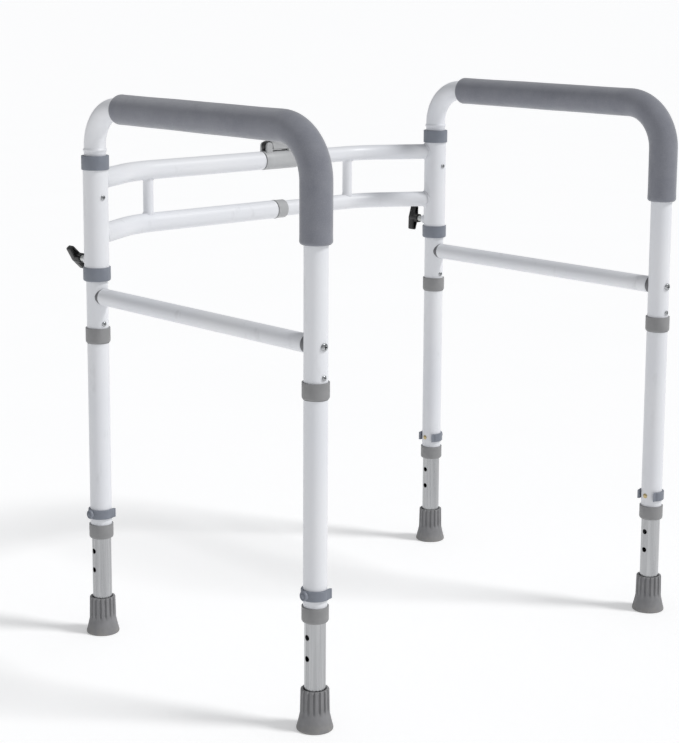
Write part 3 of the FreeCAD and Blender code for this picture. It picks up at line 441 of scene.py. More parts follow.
def path_of(corners, radii):
    """Straight runs between corners, with a tangent arc of its radius inside each of them.

    Returns the pieces of the path: for each its length, how many steps it needs, and a
    function from distances along it to points and directions. An arc is centre
    + r (u cos t + v sin t), with t the distance over r.
    """
    corners = [np.array(corner, float) for corner in corners]
    pieces = []
    start = corners[0]
    for before, corner, after, radius in zip(corners, corners[1:], corners[2:], radii):
        way_in = (corner - before) / np.linalg.norm(corner - before)
        way_out = (after - corner) / np.linalg.norm(after - corner)
        turn = math.acos(float(way_in @ way_out))
        reach = radius * math.tan(turn / 2)
        bend_start = corner - way_in * reach
        pieces.append(straight(start, bend_start))
        inward = way_out - way_in * (way_in @ way_out)
        inward = inward / np.linalg.norm(inward)
        pieces.append(arc(bend_start + inward * radius, -inward, way_in, radius, turn))
        start = corner + way_out * reach
    pieces.append(straight(start, corners[-1]))
    return pieces


def straight(start, end):
    """A straight run: start + s way."""
    length = np.linalg.norm(end - start)
    way = (end - start) / length
    return length, 1, lambda s: (start + s[:, None] * way, np.tile(way, (len(s), 1)))


def arc(centre, out, way, radius, turn):
    """A bend: centre + r (out cos t + way sin t)."""
    def walk(s):
        t = (s / radius)[:, None]
        return (centre + radius * (out * np.cos(t) + way * np.sin(t)),
                way * np.cos(t) - out * np.sin(t))
    return radius * turn, max(4, round(math.degrees(turn) / 3)), walk


def walk_path(pieces, extra=()):
    """Distances, points and directions along a path, at its steps and at extra distances."""
    distances, start = [0.0], 0.0
    for length, steps, walk in pieces:
        distances += list(start + length * np.arange(1, steps + 1) / steps)
        start += length
    distances = np.unique(np.round(np.array(distances + list(extra)), 7))
    distances = distances[(distances >= 0) & (distances <= start + 1e-6)]
    points = np.zeros((len(distances), 3))
    ways = np.zeros((len(distances), 3))
    start = 0.0
    for length, steps, walk in pieces:
        here = (distances >= start - 1e-6) & (distances <= start + length + 1e-6)
        points[here], ways[here] = walk(distances[here] - start)
        start += length
    return distances, points, ways


def around_circle(count=AROUND):
    """Angles evenly round a circle."""
    return np.arange(count) * 2 * math.pi / count


def rings(points, ways, normal, radii):
    """Rings round a plane path: point + r (side cos a + normal sin a), side = normal x way."""
    angle = around_circle()
    side = np.cross(normal, ways)[:, None, :]
    radii = np.asarray(radii).reshape(len(points), 1, 1)
    circle = side * np.cos(angle)[None, :, None] + normal * np.sin(angle)[None, :, None]
    return points[:, None, :] + radii * circle


def tube(pieces, outer, wall=LEG_WALL, swell=()):
    """A tube's closed wall: out along the outside, over a rounded rim, and back inside.

    Its path stays in a plane across X. swell lists beads as (distance, rise, half length):
    the outside grows there by rise (1 + cos) / 2.
    """
    total = sum(piece[0] for piece in pieces)
    extra = [LIP, total - LIP]
    for at, rise, half in swell:
        extra += list(at + half * np.linspace(-1, 1, 9))
    distances, points, ways = walk_path(pieces, extra)
    outside = np.full(len(distances), outer)
    for at, rise, half in swell:
        near = np.abs(distances - at) < half
        outside[near] += rise * (1 + np.cos((distances[near] - at) / half * math.pi)) / 2
    outside[[0, -1]] -= LIP
    inside = np.full(len(distances), outer - wall)
    inside[[0, -1]] += LIP
    over = rings(points, ways, RIGHTWARD, outside)
    back = rings(points, ways, RIGHTWARD, inside)[::-1]
    return loft(np.vstack([over, back]))


def lathe(profile, centre, axis, around=AROUND, shape=None):
    """A closed profile of (radius, height) turned about an axis through centre.

    shape, if given, changes the radii by a function of radius, height and angle.
    """
    profile = np.asarray(profile, float)
    axis = np.asarray(axis, float)
    other = RIGHTWARD if abs(axis[0]) < 0.9 else REARWARD
    u = np.cross(axis, other)
    u = u / np.linalg.norm(u)
    v = np.cross(axis, u)
    angle = around_circle(around)
    radius = np.repeat(profile[:, :1], around, 1)
    height = np.repeat(profile[:, 1:], around, 1)
    if shape:
        radius = shape(radius, height, angle[None, :])
    circle = np.cos(angle)[None, :, None] * u + np.sin(angle)[None, :, None] * v
    return np.asarray(centre) + radius[..., None] * circle + height[..., None] * axis


def rounded(profile, radii, steps=4):
    """A closed profile whose corners are rounded: each corner becomes an arc of its radius."""
    profile = np.asarray(profile, float)
    before = np.roll(profile, 1, 0)
    after = np.roll(profile, -1, 0)
    out = []
    for corner, b, a, radius in zip(profile, before, after, radii):
        if radius == 0:
            out.append(corner)
            continue
        way_in = (corner - b) / np.linalg.norm(corner - b)
        way_out = (a - corner) / np.linalg.norm(a - corner)
        turn = math.acos(np.clip(way_in @ way_out, -1, 1))
        reach = radius * math.tan(turn / 2)
        t = np.linspace(0, 1, steps + 1)[:, None]
        start, end = corner - way_in * reach, corner + way_out * reach
        out += list((1 - t) ** 2 * start + 2 * t * (1 - t) * corner + t ** 2 * end)
    return np.array(out)


def bead(centre, way, axis, bar_r, pipe_r, thick=WELD):
    """A weld bead where a pipe along way meets a round bar along axis, at right angles.

    The seam is t way + r (cos a across + sin a axis), with t = sqrt(R^2 - r^2 cos^2 a), and
    the bead is a rippled ring of its thickness round the seam, in the plane of the two
    outward directions.
    """
    across = np.cross(axis, way)
    angle = around_circle()
    cos, sin = np.cos(angle)[:, None], np.sin(angle)[:, None]
    out_pipe = cos * across + sin * axis
    t = np.sqrt(bar_r ** 2 - (pipe_r * cos) ** 2)
    seam = centre + t * way + pipe_r * out_pipe
    out_bar = (t * way + pipe_r * cos * across) / bar_r
    phase = around_circle(8)[:, None, None]
    ripple = 1 + WELD_RIPPLE * np.sin(angle * WELD_RIPPLES)[:, None]
    ring = thick * ripple * (np.cos(phase) * out_pipe + np.sin(phase) * out_bar)
    return loft(np.swapaxes(seam + ring, 0, 1))


def slab(outline, origin, across, upward, thickness, edge, dish=None):
    """A plate with rounded rims: its outline carried along the normal of its plane.

    At a rim the outline goes in by e (1 - sin t) where it is e (1 - cos t) from the face, and
    a narrow flat edge lies inside the rim. A dish is a flat floor sunk in the far face, given
    as the rim left round it and its depth.
    """
    outline = np.asarray(outline, float)
    normal = np.cross(across, upward)
    way = np.roll(outline, -1, 0) - np.roll(outline, 1, 0)
    way = way / np.linalg.norm(way, axis=1)[:, None]
    outward = np.stack([way[:, 1], -way[:, 0]], 1)
    t = np.linspace(0, math.pi / 2, 5)
    insets = [edge + FLAT_EDGE] + list(edge * (1 - np.sin(t)))
    heights = [0] + list(edge * (1 - np.cos(t)))
    insets += insets[::-1]
    heights += [thickness - height for height in heights[::-1]]
    if dish:
        rim, depth = dish
        soft = min(depth, rim) / 3
        insets += [edge + rim, edge + rim + soft, edge + rim + 2 * soft]
        heights += [thickness, thickness - soft, thickness - depth]
    rows = [flat(outline - inset * outward, origin + height * normal, across, upward)
            for inset, height in zip(insets, heights)]
    return loft(rows, "caps")


def flat(outline, origin, across, upward):
    """A flat outline's points in space."""
    return origin + outline[:, :1] * across + outline[:, 1:] * upward


def turned(profile, centre, axis, around=AROUND, shape=None):
    """A solid turned from an open profile, closed by a small flat face at each end."""
    return loft(lathe(profile, centre, axis, around, shape), "caps")


def ring_of(profile, centre, axis, around=AROUND, shape=None):
    """A ring turned from a closed profile."""
    return loft(lathe(profile, centre, axis, around, shape))


def dome_cap(radius, height):
    """Profile of a shallow dome, (R cos t, h sin t), from its rim to just off its middle."""
    t = np.linspace(0, DOME_END, 9) * math.pi / 2
    return np.stack([radius * np.cos(t), height * np.sin(t)], 1)


# ---- side frames
def make_handrail(side):
    """Rear leg, armrest and front leg: a tube bent twice, with the rear leg's stop bead."""
    rear, front = leg_axis(side, "rear"), leg_axis(side, "front")
    top, bottom = HANDRAIL_Z * UP, JOINT_Z * UP
    path = path_of([rear + bottom, rear + top, front + top, front + bottom],
                   [REAR_BEND, FRONT_BEND])
    bead_z = high(f"{side}_sleeve_collars")[2] + STOP_BEAD_GAP
    swell = [(bead_z - JOINT_Z, STOP_BEAD_RISE, STOP_BEAD_HALF)]
    skin = tube(path, LEG_R, swell=swell)
    make_piece(f"{side}_armrest_tube", [skin], "white_powder_coat", f"{side}_frame",
               f"{side}_handrail_tube")


def make_foam(side):
    """Foam over the armrest and round the front bend.

    Its radius falls by q - sqrt(q^2 - (q - s)^2) within q of each end, and it swells and
    sinks a little along and round the tube, as a sum of slow sines.
    """
    node = f"{side}_foam_grip"
    front = leg_axis(side, "front")
    start = front * (1, 0, 0) + high(node)[1] * REARWARD + HANDRAIL_Z * UP
    path = path_of([start, front + HANDRAIL_Z * UP, front + low(node)[2] * UP], [FRONT_BEND])
    total = sum(piece[0] for piece in path)
    end = FOAM_ROUND * (1 - np.cos(np.linspace(0, math.pi / 2, 7)))
    along = np.arange(FOAM_ROUND, total - FOAM_ROUND, FOAM_STEP)
    distances, points, ways = walk_path(path, [*end, *(total - end), *along])
    s = np.minimum(distances, total - distances)
    near = np.clip(FOAM_ROUND - s, 0, None)
    outer = GRIP_R - FOAM_ROUND + np.sqrt(FOAM_ROUND ** 2 - near ** 2)
    skin_rows = rings(points, ways, RIGHTWARD, outer)
    out = skin_rows - points[:, None, :]
    wave = sum(np.sin(distances[:, None] / length + lobes * around_circle() + start)
               for length, lobes, start in FOAM_WAVES)
    ease = np.clip(s / (3 * FOAM_ROUND), 0, 1)[:, None]
    out = out * (1 - FOAM_SLACK * ease * (1 + wave / 3))[..., None]
    bore = rings(points[[-1, 0]], ways[[-1, 0]], RIGHTWARD, [LEG_R + FOAM_PLAY] * 2)
    inner = rings(points[::-4], ways[::-4], RIGHTWARD, [LEG_R + FOAM_PLAY] * len(points[::-4]))
    rows = np.vstack([points[:, None, :] + out, bore[:1], inner[1:-1], bore[1:]])
    piece = make_piece(f"{side}_foam", [loft(rows)], "grip_foam", f"{side}_frame", node,
                       sharp=60)


def make_lower_leg(side, end):
    """Straight lower leg tube, from the joint down."""
    axis = leg_axis(side, end)
    path = [straight(axis + LEG_END_Z * UP, axis + JOINT_Z * UP)]
    make_piece(f"{side}_{end}_lower_leg", [tube(path, LEG_R)], "white_powder_coat",
               f"{side}_frame", f"{side}_{end}_leg_tube")


def make_side_rail(side):
    """Rail between the two legs of a side, with flat ends."""
    node = f"{side}_side_rail"
    axis = middle(node)
    path = [straight(axis * (1, 0, 1) + low(node)[1] * REARWARD,
                     axis * (1, 0, 1) + high(node)[1] * REARWARD)]
    skin = tube(path, SIDE_RAIL_R)
    make_piece(f"{side}_cross_rail", [skin], "white_powder_coat", f"{side}_frame", node)


def make_saddles(side):
    """Saddles between the legs and the side rail's flat ends.

    The hollow face follows the leg: at a distance q from the rail's axis and an angle a it is
    sqrt(R^2 - (q cos a)^2) from the leg's axis.
    """
    skins = []
    flat_end = high(f"{side}_side_rail")[1]
    nose = SIDE_RAIL_R - SADDLE_EDGE
    for end, sign in ENDS.items():
        axis = leg_axis(side, end) + SIDE_RAIL_Z * UP
        inward = -sign * REARWARD
        reach = abs(flat_end - leg_axis(side, "rear")[1])
        angle = around_circle()
        circle = np.cos(angle)[:, None] * RIGHTWARD + np.sin(angle)[:, None] * UP
        hollow = np.linspace(nose, SADDLE_HOLE, 7)
        face = [(q, np.sqrt(LEG_R ** 2 - (q * np.cos(angle)) ** 2)) for q in hollow]
        back = [(SADDLE_HOLE, reach), (nose - SADDLE_EDGE, reach), (nose, reach - SADDLE_EDGE)]
        rows = [axis + q * circle + np.broadcast_to(far, angle.shape)[:, None] * inward
                for q, far in face + back]
        skins.append(loft(rows))
    # the saddles' grey plastic is painted darker as shade
    make_piece(f"{side}_saddles", skins, "saddle_plastic_painted_shade", f"{side}_frame",
               f"{side}_rail_saddles")


def screw_head(seat, outward, radius, rise):
    """A domed head with a cross recess, as a height over a polar grid.

    The dome is rise sqrt(1 - (q/R)^2), less the recess where both |u| and |v| fall within an
    arm of the cross, with soft walls.
    """
    q = np.linspace(HEAD_MIDDLE, 1, 15)[::-1, None] * radius
    angle = around_circle(HEAD_AROUND)[None, :]
    u, v = q * np.cos(angle), q * np.sin(angle)

    def arm(a, b):
        """1 within one arm of the cross, falling evenly to 0 over its walls."""
        within = (SLOT_WIDTH * radius - np.abs(a)) / SLOT_SOFT
        length = (SLOT_LENGTH * radius - np.abs(b)) / SLOT_SOFT
        return np.clip(within, 0, 1) * np.clip(length, 0, 1)
    dome = np.sqrt(np.clip(1 - (q / radius) ** 2, 0, 1))
    height = rise * (HEAD_RIM + (1 - HEAD_RIM) * dome)
    height = height - SLOT_DEPTH * rise * np.maximum(arm(u, v), arm(v, u))
    side = np.cross(outward, UP)
    dome = seat + u[..., None] * side + v[..., None] * UP + height[..., None] * outward
    foot = seat + radius * (np.cos(angle[0])[:, None] * side + np.sin(angle[0])[:, None] * UP)
    return loft(np.vstack([foot[None], dome]), "caps")


def make_screws(side):
    """Heads of the side rail's screws and of the small screws in the joints and the sleeve, in
    zinc steel painted darker as the shade in and round their recesses.
    """
    heads = []
    for end, sign in ENDS.items():
        seat = leg_axis(side, end) + SIDE_RAIL_Z * UP + sign * (LEG_R - HEAD_SINK) * REARWARD
        heads.append(screw_head(seat, sign * REARWARD, RAIL_HEAD_R, RAIL_HEAD_RISE))
    make_piece(f"{side}_cross_rail_screws", heads, "screw_steel_painted_shade", f"{side}_frame",
               f"{side}_rail_screws")
    joint_z = middle(f"{side}_joint_screws")[2]
    small = [screw_head(leg_axis(side, end) + joint_z * UP - (LEG_R - HEAD_SINK) * REARWARD,
                        -REARWARD, SMALL_HEAD_R, SMALL_HEAD_RISE) for end in ENDS]
    make_piece(f"{side}_small_joint_screws", small, "screw_steel_painted_shade", f"{side}_frame",
               f"{side}_joint_screws")
    seat = leg_axis(side, "rear") + middle(f"{side}_sleeve_screw")[2] * UP
    sleeve = screw_head(seat - (SLEEVE_R - HEAD_SINK) * REARWARD, -REARWARD, SMALL_HEAD_R,
                        SMALL_HEAD_RISE)
    make_piece(f"{side}_sleeve_small_screw", [sleeve], "screw_steel_painted_shade", f"{side}_bracket",
               f"{side}_sleeve_screw")


def make_leg_collars(side):
    """Collars on the joints and on the ends of the lower leg tubes.

    The closed section is a bore, a thin top land, a wall and a rounded foot. On the lower
    collars a lip closes in on the extension, below the tube that the collar holds.
    """
    for what, wall in (("joint_collars", JOINT_COLLAR_R), ("bottom_collars", BOTTOM_COLLAR_R)):
        node = f"{side}_{what}"
        half = size(node)[2] / 2
        corners, rounds = [(LEG_R, half), (wall, half), (wall, -half)], [*COLLAR_ROUNDS]
        if what == "joint_collars":
            corners += [(LEG_R, -half)]
        else:
            bore, lip = EXTENSION_R + SLIDE_PLAY, LEG_END_Z - middle(node)[2]
            corners += [(bore, -half), (bore, lip), (LEG_R, lip)]
            rounds += [0, 0]
        skins = [ring_of(rounded(corners, rounds), leg_axis(side, end) + middle(node)[2] * UP, UP)
                 for end in ENDS]
        make_piece(f"{side}_leg_{what}", skins, "grey_plastic", f"{side}_frame", node)


def make_clips(side):
    """Spring clips round the lower legs, each with a boss that holds its lock pin.

    A clip is a rounded section carried round the leg, (R + w + c) (cos a, sin a), where the
    curl c bends its two ends outwards over their last stretch, and ribs h (1 - cos n a) / 2
    stand on the outside there.
    """
    outward = SIDES[side]
    clips, pins = [], []
    for end in ENDS:
        centre = leg_axis(side, end) + LOCK_Z * UP
        half = CLIP_HEIGHT / 2
        section = rounded([(0, -half), (CLIP_WALL, -half), (CLIP_WALL, half), (0, half)],
                          CLIP_ROUNDS)
        reach = math.pi - CLIP_OPENING / 2
        angle = np.linspace(-reach, reach, 217)
        past = np.clip((np.abs(angle) - (reach - CLIP_CURL_ANGLE)) / CLIP_CURL_ANGLE, 0, 1)
        curl = CLIP_CURL * past ** 2
        ribbed = np.clip((np.abs(angle) - (reach - CLIP_RIBBED)) / CLIP_RIBBED, 0, 1)
        ribs = CLIP_RIB * (1 - np.cos(2 * math.pi * CLIP_RIBS * ribbed)) / 2
        outside = section[:, 0] > CLIP_WALL / 2
        radius = LEG_R + curl[:, None] + section[None, :, 0] + ribs[:, None] * outside
        rows = centre + np.stack([outward * radius * np.cos(angle)[:, None],
                                  radius * np.sin(angle)[:, None],
                                  np.broadcast_to(section[:, 1], radius.shape)], -1)
        clips.append(loft(rows, "caps"))
        way = outward * RIGHTWARD
        button = dome_cap(PIN_R, PIN_DOME) + (0, BOSS[-1, 1])
        clips.append(turned(np.vstack([BOSS, button]), centre + (LEG_R + CLIP_WALL) * way, way))
        shank_r = PIN_R - PIN_PLAY
        tip = dome_cap(shank_r, PIN_TIP)[::-1] + (0, LEG_R)
        pin = np.vstack([tip, [(shank_r, -LEG_R), (POLE_R, -LEG_R)]])
        pins.append(turned(pin, centre, -way, around=32))
    make_piece(f"{side}_spring_clips", clips, "blue_grey_plastic", f"{side}_frame",
               f"{side}_lock_clips")
    make_piece(f"{side}_pins", pins, "pin_brass", f"{side}_frame", f"{side}_lock_pins")


def make_foot(side, end):
    """Rubber foot: fluted cup on a flared base, a tread of rings, and a socket.

    The flutes take depth ((cos n a - l) / (1 - l)) ^ p off the cup's radius where that is
    above 0, with l for the land and p for the shape. They fade in above the flare and run out
    through the top.
    """
    node = f"{side}_{end}_foot"
    base = size(node)[0] / 2
    top = high(node)[2]
    mouth = EXTENSION_R + FOOT_MOUTH
    tread = [(SOLE_R, 0)] + [(ring + r, h) for ring in TREAD_RINGS for r, h in TREAD]
    flare = [(base - inset, h) for inset, h in FOOT_EDGE]
    flare += [(base - (base - FOOT_NECK) * t ** FOOT_HOLLOW,
               FOOT_RIM + (FOOT_FLARE - FOOT_RIM) * t) for t in np.linspace(0, 1, 9)[1:]]
    cup = [(FOOT_NECK + (FOOT_TOP - FOOT_NECK) * t, FOOT_FLARE + (top - FOOT_FLARE) * t)
           for t in np.linspace(0, CUP_END, 18)[1:]]
    rim = [(FOOT_TOP - inset, top - h) for inset, h in FOOT_TOP_EDGE]
    rim += [(mouth + out, top - h) for out, h in MOUTH_EDGE]
    floor = top - FOOT_MOUTH_DEPTH
    socket = [(mouth, floor), (EXTENSION_R, floor), (EXTENSION_R, SOLE), (SOLE_R, SOLE)]

    def flutes(radius, height, angle):
        fade = np.clip((height - FOOT_FLARE) / FLUTE_FADE, 0, 1)
        groove = np.clip((np.cos(FLUTES * angle) - FLUTE_LAND) / (1 - FLUTE_LAND), 0, 1)
        least = mouth + FLUTE_WALL
        wall = np.maximum(radius - FLUTE_DEPTH * fade * groove ** FLUTE_SHAPE, least)
        return np.where(radius > least, wall, radius)
    skin = turned(tread + flare + cup + rim + socket, leg_axis(side, end), UP, FLUTES * 12,
                  flutes)
    make_piece(f"{side}_{end}_rubber_foot", [skin], "foot_rubber", f"{side}_{end}_foot", node,
               sharp=50)


# ---- rear bracket
def make_sleeve(side):
    """Sleeve that the rear leg turns in, with its collars and the knob's nut."""
    axis = leg_axis(side, "rear")
    node = f"{side}_sleeve"
    body = f"{side}_bracket"
    bottom, top = low(node)[2], high(node)[2]
    skin = tube([straight(axis + bottom * UP, axis + top * UP)], SLEEVE_R, SLEEVE_WALL)
    make_piece(f"{side}_pivot_sleeve", [skin], "white_powder_coat", body, node)

    collars = f"{side}_sleeve_collars"
    lip = bottom - low(collars)[2]
    bore = LEG_R + SLIDE_PLAY
    corners = [(bore, 0), (bore, lip), (SLEEVE_R, lip), (SLEEVE_R, SLEEVE_COLLAR_HEIGHT),
               (SLEEVE_COLLAR_R, SLEEVE_COLLAR_HEIGHT), (SLEEVE_COLLAR_R, 0)]
    skins = [ring_of(rounded(corners, [*SLEEVE_COLLAR_ROUNDS, foot]), axis + z * UP, way)
             for foot, z, way in ((LOWER_COLLAR_FOOT, low(collars)[2], UP),
                                  (UPPER_COLLAR_FOOT, high(collars)[2], -UP))]
    make_piece(f"{side}_end_collars", skins, "blue_grey_plastic", body, collars)

    nut = f"{side}_weld_nut"
    nut_r = size(nut)[0] / 2
    face = high(nut)[1] - axis[1]
    profile = [(NUT_BORE, SLEEVE_R - NUT_INNER_SINK), (nut_r, SLEEVE_R - NUT_OUTER_SINK),
               (nut_r, face - NUT_CHAMFER), (nut_r - NUT_CHAMFER, face),
               (NUT_BORE + NUT_MOUTH, face), (NUT_BORE, face - NUT_MOUTH)]
    skins = [ring_of(profile, axis + KNOB_Z * UP, REARWARD),
             bead(axis + KNOB_Z * UP, REARWARD, UP, SLEEVE_R, nut_r, NUT_WELD)]
    make_piece(f"{side}_knob_nut", skins, "white_powder_coat", body, nut)


def make_rail(side, level):
    """A rail from its inner end to its sleeve, cut to the sleeve's curve, with its weld.

    The last ring is carried along the rail until it meets the sleeve: for a point p off the
    sleeve's axis and the rail's way w, the least t with |p + t w| = R in plan.
    """
    node = f"{side}_{level}_rail"
    sign = SIDES[side]
    outer = size(node)[2] / 2
    axis = leg_axis(side, "rear")
    z = middle(node)[2] * UP
    inner_end = (high(node) if side == "left" else low(node)) * (1, 0, 0) + RAIL_Y * REARWARD
    offset = RAIL_Y - axis[1]
    corner = axis + offset * REARWARD - sign * offset / math.tan(RAIL_SLANT) * RIGHTWARD
    path = path_of([inner_end + z, corner + z, axis + z], [RAIL_BEND])
    distances, points, ways = walk_path(path, [LIP])
    way = ways[-1]
    outside = np.full(len(distances), outer)
    outside[0] -= LIP
    over = rings(points, ways, UP, outside)
    back = rings(points, ways, UP, np.full(len(distances), outer - LEG_WALL))
    for rows in (over, back):
        off = (rows[-1] - axis) * (1, 1, 0)
        along = off @ way
        aside_squared = (off * off).sum(1) - along ** 2
        reach = np.sqrt(np.clip((SLEEVE_R - WELD_SINK) ** 2 - aside_squared, 0, None))
        rows[-1] += (-along - reach)[:, None] * way
    skins = [loft(np.vstack([over, back[::-1]])), bead(axis + z, -way, UP, SLEEVE_R, outer)]
    make_piece(f"{side}_{level}_bracket_rail", skins, "white_powder_coat", f"{side}_bracket",
               node)


def make_strut(side):
    """Upright between the rails, with a weld at each end."""
    node = f"{side}_strut"
    rail_r = OUTER_RAIL_R if side == "left" else INNER_RAIL_R
    lower, upper = (middle(f"{side}_{level}_rail")[2] * UP for level in ("lower", "upper"))
    foot = middle(node) * (1, 0, 0) + RAIL_Y * REARWARD
    reach = STRUT_REACH * rail_r * UP
    skins = [tube([straight(foot + lower + reach, foot + upper - reach)], STRUT_R)]
    skins += [bead(foot + level, way, RIGHTWARD, rail_r, STRUT_R, STRUT_WELD)
              for level, way in ((lower, UP), (upper, -UP))]
    make_piece(f"{side}_upright", skins, "white_powder_coat", f"{side}_bracket", node)


def make_rail_collar():
    """Collar on the lower rail, with a rim where it meets the left rail."""
    node = "lower_rail_collar"
    start = rail_mouth("lower")
    length = high(node)[0] - start[0]
    radius = size(node)[2] / 2
    body_r = radius - RIM_STEP
    profile = rounded([(SLIDE_BORE, BUSH_GAP), (radius, BUSH_GAP), (radius, RIM_END),
                       (body_r, RIM_END + RIM_SLOPE), (body_r, length), (SLIDE_BORE, length)],
                      SLIDE_COLLAR_ROUNDS)
    make_piece("lower_slide_collar", [ring_of(profile, start, RIGHTWARD)], "clamp_plastic",
               "left_bracket", node)


def rail_mouth(level):
    """Middle of a left rail's open end."""
    rail = f"left_{level}_rail"
    return high(rail) * (1, 0, 0) + RAIL_Y * REARWARD + middle(rail)[2] * UP


def make_shade_line_bushes():
    """Bushes that stand a little out of the left rails' ends, partly a real bush and dark grey to
    paint the shade line in the gaps at the clamp's and collar's rims.
    """
    outer = OUTER_RAIL_R - LEG_WALL - BUSH_PLAY
    profile = [(SLIDE_BORE, BUSH_GAP), (outer, BUSH_GAP), (outer, -BUSH_DEPTH),
               (SLIDE_BORE, -BUSH_DEPTH)]
    skins = [ring_of(profile, rail_mouth(level), RIGHTWARD) for level in ("upper", "lower")]
    # painted shade: the dark bush fills the rim gaps so that they read as a shaded line
    make_piece("slide_bushes_painted_shade", skins, "inner_plastic", "left_bracket")


def make_clamp():
    """Quick-release clamp: split barrel, round ears, stop block, lever and pivot pin."""
    node = "clamp_body"
    start = rail_mouth("upper")
    length = high(node)[0] - start[0]
    whole = EAR_X + EAR_R
    profile = rounded([(SLIDE_BORE, BUSH_GAP), (CLAMP_R, BUSH_GAP), (CLAMP_R, whole),
                       (SLIDE_BORE, whole)], [0, CLAMP_EDGE, 0, 0])
    slit = math.asin(CLAMP_SLIT / 2 / CLAMP_R)
    angle = np.linspace(slit, 2 * math.pi - slit, 61)
    round_slit = np.stack([np.sin(angle), np.cos(angle)], 1)
    rows = []
    for x, inset in ((whole, 0), *((length - before, inset) for before, inset in BARREL_END)):
        section = np.vstack([(CLAMP_R - inset) * round_slit, SLIDE_BORE * round_slit[::-1]])
        rows.append(flat(section, start + x * RIGHTWARD, REARWARD, UP))
    skins = [ring_of(profile, start, RIGHTWARD), loft(rows, "caps")]

    pivot = start + EAR_X * RIGHTWARD + (high("clamp_pin")[2] - PIVOT_PIN_R - start[2]) * UP
    rise = pivot[2] - start[2]
    t = np.linspace(0, math.pi, 25)
    ear = np.vstack([np.stack([EAR_R * np.cos(t), EAR_R * np.sin(t)], 1),
                     [(-EAR_R, EAR_FOOT - rise), (EAR_R, EAR_FOOT - rise)]])
    wide = size("clamp_lever")[1] / 2
    gap = LEVER_NECK / 2 + EAR_GAP
    for near in (wide, -gap):
        origin = pivot + near * REARWARD
        skins.append(slab(ear, origin, RIGHTWARD, UP, wide - gap, EAR_EDGE))
    top = high(node)[2] - start[2]
    stop_x = high("clamp_lever")[0] - start[0] + STOP_GAP
    block = rounded([(stop_x, STOP_FOOT), (length, STOP_FOOT), (length, top), (stop_x, top)],
                    STOP_ROUNDS)
    for near in (wide, -CLAMP_SLIT / 2):
        origin = start + near * REARWARD
        skins.append(slab(block, origin, RIGHTWARD, UP, wide - CLAMP_SLIT / 2, CLAMP_EDGE))
    make_piece("clamp_barrel", skins, "clamp_plastic", "left_bracket", node)
    make_lever(start, pivot, wide, top)
    end = dome_cap(PIVOT_PIN_R, PIVOT_PIN_DOME) + (0, wide - PIVOT_PIN_SINK)
    profile = np.vstack([end[::-1] * (1, -1), end])
    make_piece("clamp_pivot_pin", [turned(profile, pivot, REARWARD, 32)], "zinc_steel",
               "left_bracket", "clamp_pin")


def make_lever(start, pivot, wide, top):
    """The clamp's lever: a flat panel with a slanted near edge, and its cam, black to paint the
    shade in the gap round it.
    """
    node = "clamp_lever"
    tip = high(node)[0] - start[0]
    near_x = EAR_X + CAM_R + LEVER_GAP
    foot = CLAMP_R + LEVER_GAP
    panel = rounded([(near_x, foot), (tip, foot), (tip, top), (near_x - LEVER_SLANT, top)],
                    LEVER_ROUNDS)
    skins = [slab(panel, start + wide * REARWARD, RIGHTWARD, UP, 2 * wide, LEVER_EDGE)]
    make_piece("clamp_handle", skins, "clamp_plastic", "clamp_lever", node)
    t = np.linspace(math.pi / 2, 2 * math.pi, 31)
    neck_x = near_x + CAM_HOLD - EAR_X
    cam = np.vstack([np.stack([CAM_R * np.cos(t), CAM_R * np.sin(t)], 1),
                     [(neck_x, 0), (neck_x, CAM_R)]])
    skin = slab(cam, pivot + LEVER_NECK / 2 * REARWARD, RIGHTWARD, UP, LEVER_NECK, CAM_EDGE)
    # painted shade: the cam is black so that the gap between the ear and the lever looks shaded
    make_piece("clamp_cam_painted_shade", [skin], "black_plastic", "clamp_lever")


def make_knob(side):
    """Thumb knob: two wings hollowed towards the sleeve, a ribbed hub, and its bolt's end."""
    turn = KNOB_TURN[side]
    axis = leg_axis(side, "rear") + KNOB_Z * UP
    node = f"{side}_knob"
    start, back = low(node)[1] - axis[1], high(node)[1] - axis[1]
    front = back - WING_DEPTH
    upward = math.sin(turn) * RIGHTWARD + math.cos(turn) * UP
    across = np.cross(upward, REARWARD)
    wing = rounded([(WING_MID, 0), (WING_END, WING_HALF), (-WING_END, WING_HALF),
                    (-WING_MID, 0), (-WING_END, -WING_HALF), (WING_END, -WING_HALF)],
                   WING_ROUNDS, 6)
    skins = [slab(wing, axis + back * REARWARD, across, -upward, WING_DEPTH, WING_EDGE,
                  dish=(WING_RIM, WING_DISH))]

    def ribs(radius, height, angle):
        """Takes depth sqrt(cos n a), where that is above 0, off the hub below the wings."""
        deep = np.clip(np.cos(HUB_RIBS * angle), 0, 1) ** 0.5
        return radius - HUB_RIB_DEPTH * deep * (height < front) * (radius > HUB_R - HUB_SKIN)
    root = front + WING_DISH + HUB_SEAT
    hub = rounded([(HUB_R, root), (HUB_R, start), (BOLT_R, start), (BOLT_R, root)], HUB_ROUNDS)
    skins.append(ring_of(hub, axis, REARWARD, 96, ribs))
    make_piece(f"{side}_thumb_knob", skins, "black_plastic", node, node)

    bolt = f"{side}_knob_bolt"
    tip = low(bolt)[1] - axis[1]
    step = np.arange(tip + BOLT_POLE, start + BOLT_HOLD, THREAD / 2)
    thread = [(BOLT_R - THREAD_DEPTH * (number % 2), y) for number, y in enumerate(step)]
    profile = [(BOLT_POLE, tip), (BOLT_R - BOLT_TIP, tip)] + thread
    profile += [(BOLT_R - BOLT_NECK, front), (BOLT_POLE, front)]
    make_piece(f"{side}_bolt", [turned(profile, axis, REARWARD, 40)], "zinc_steel", node, bolt)


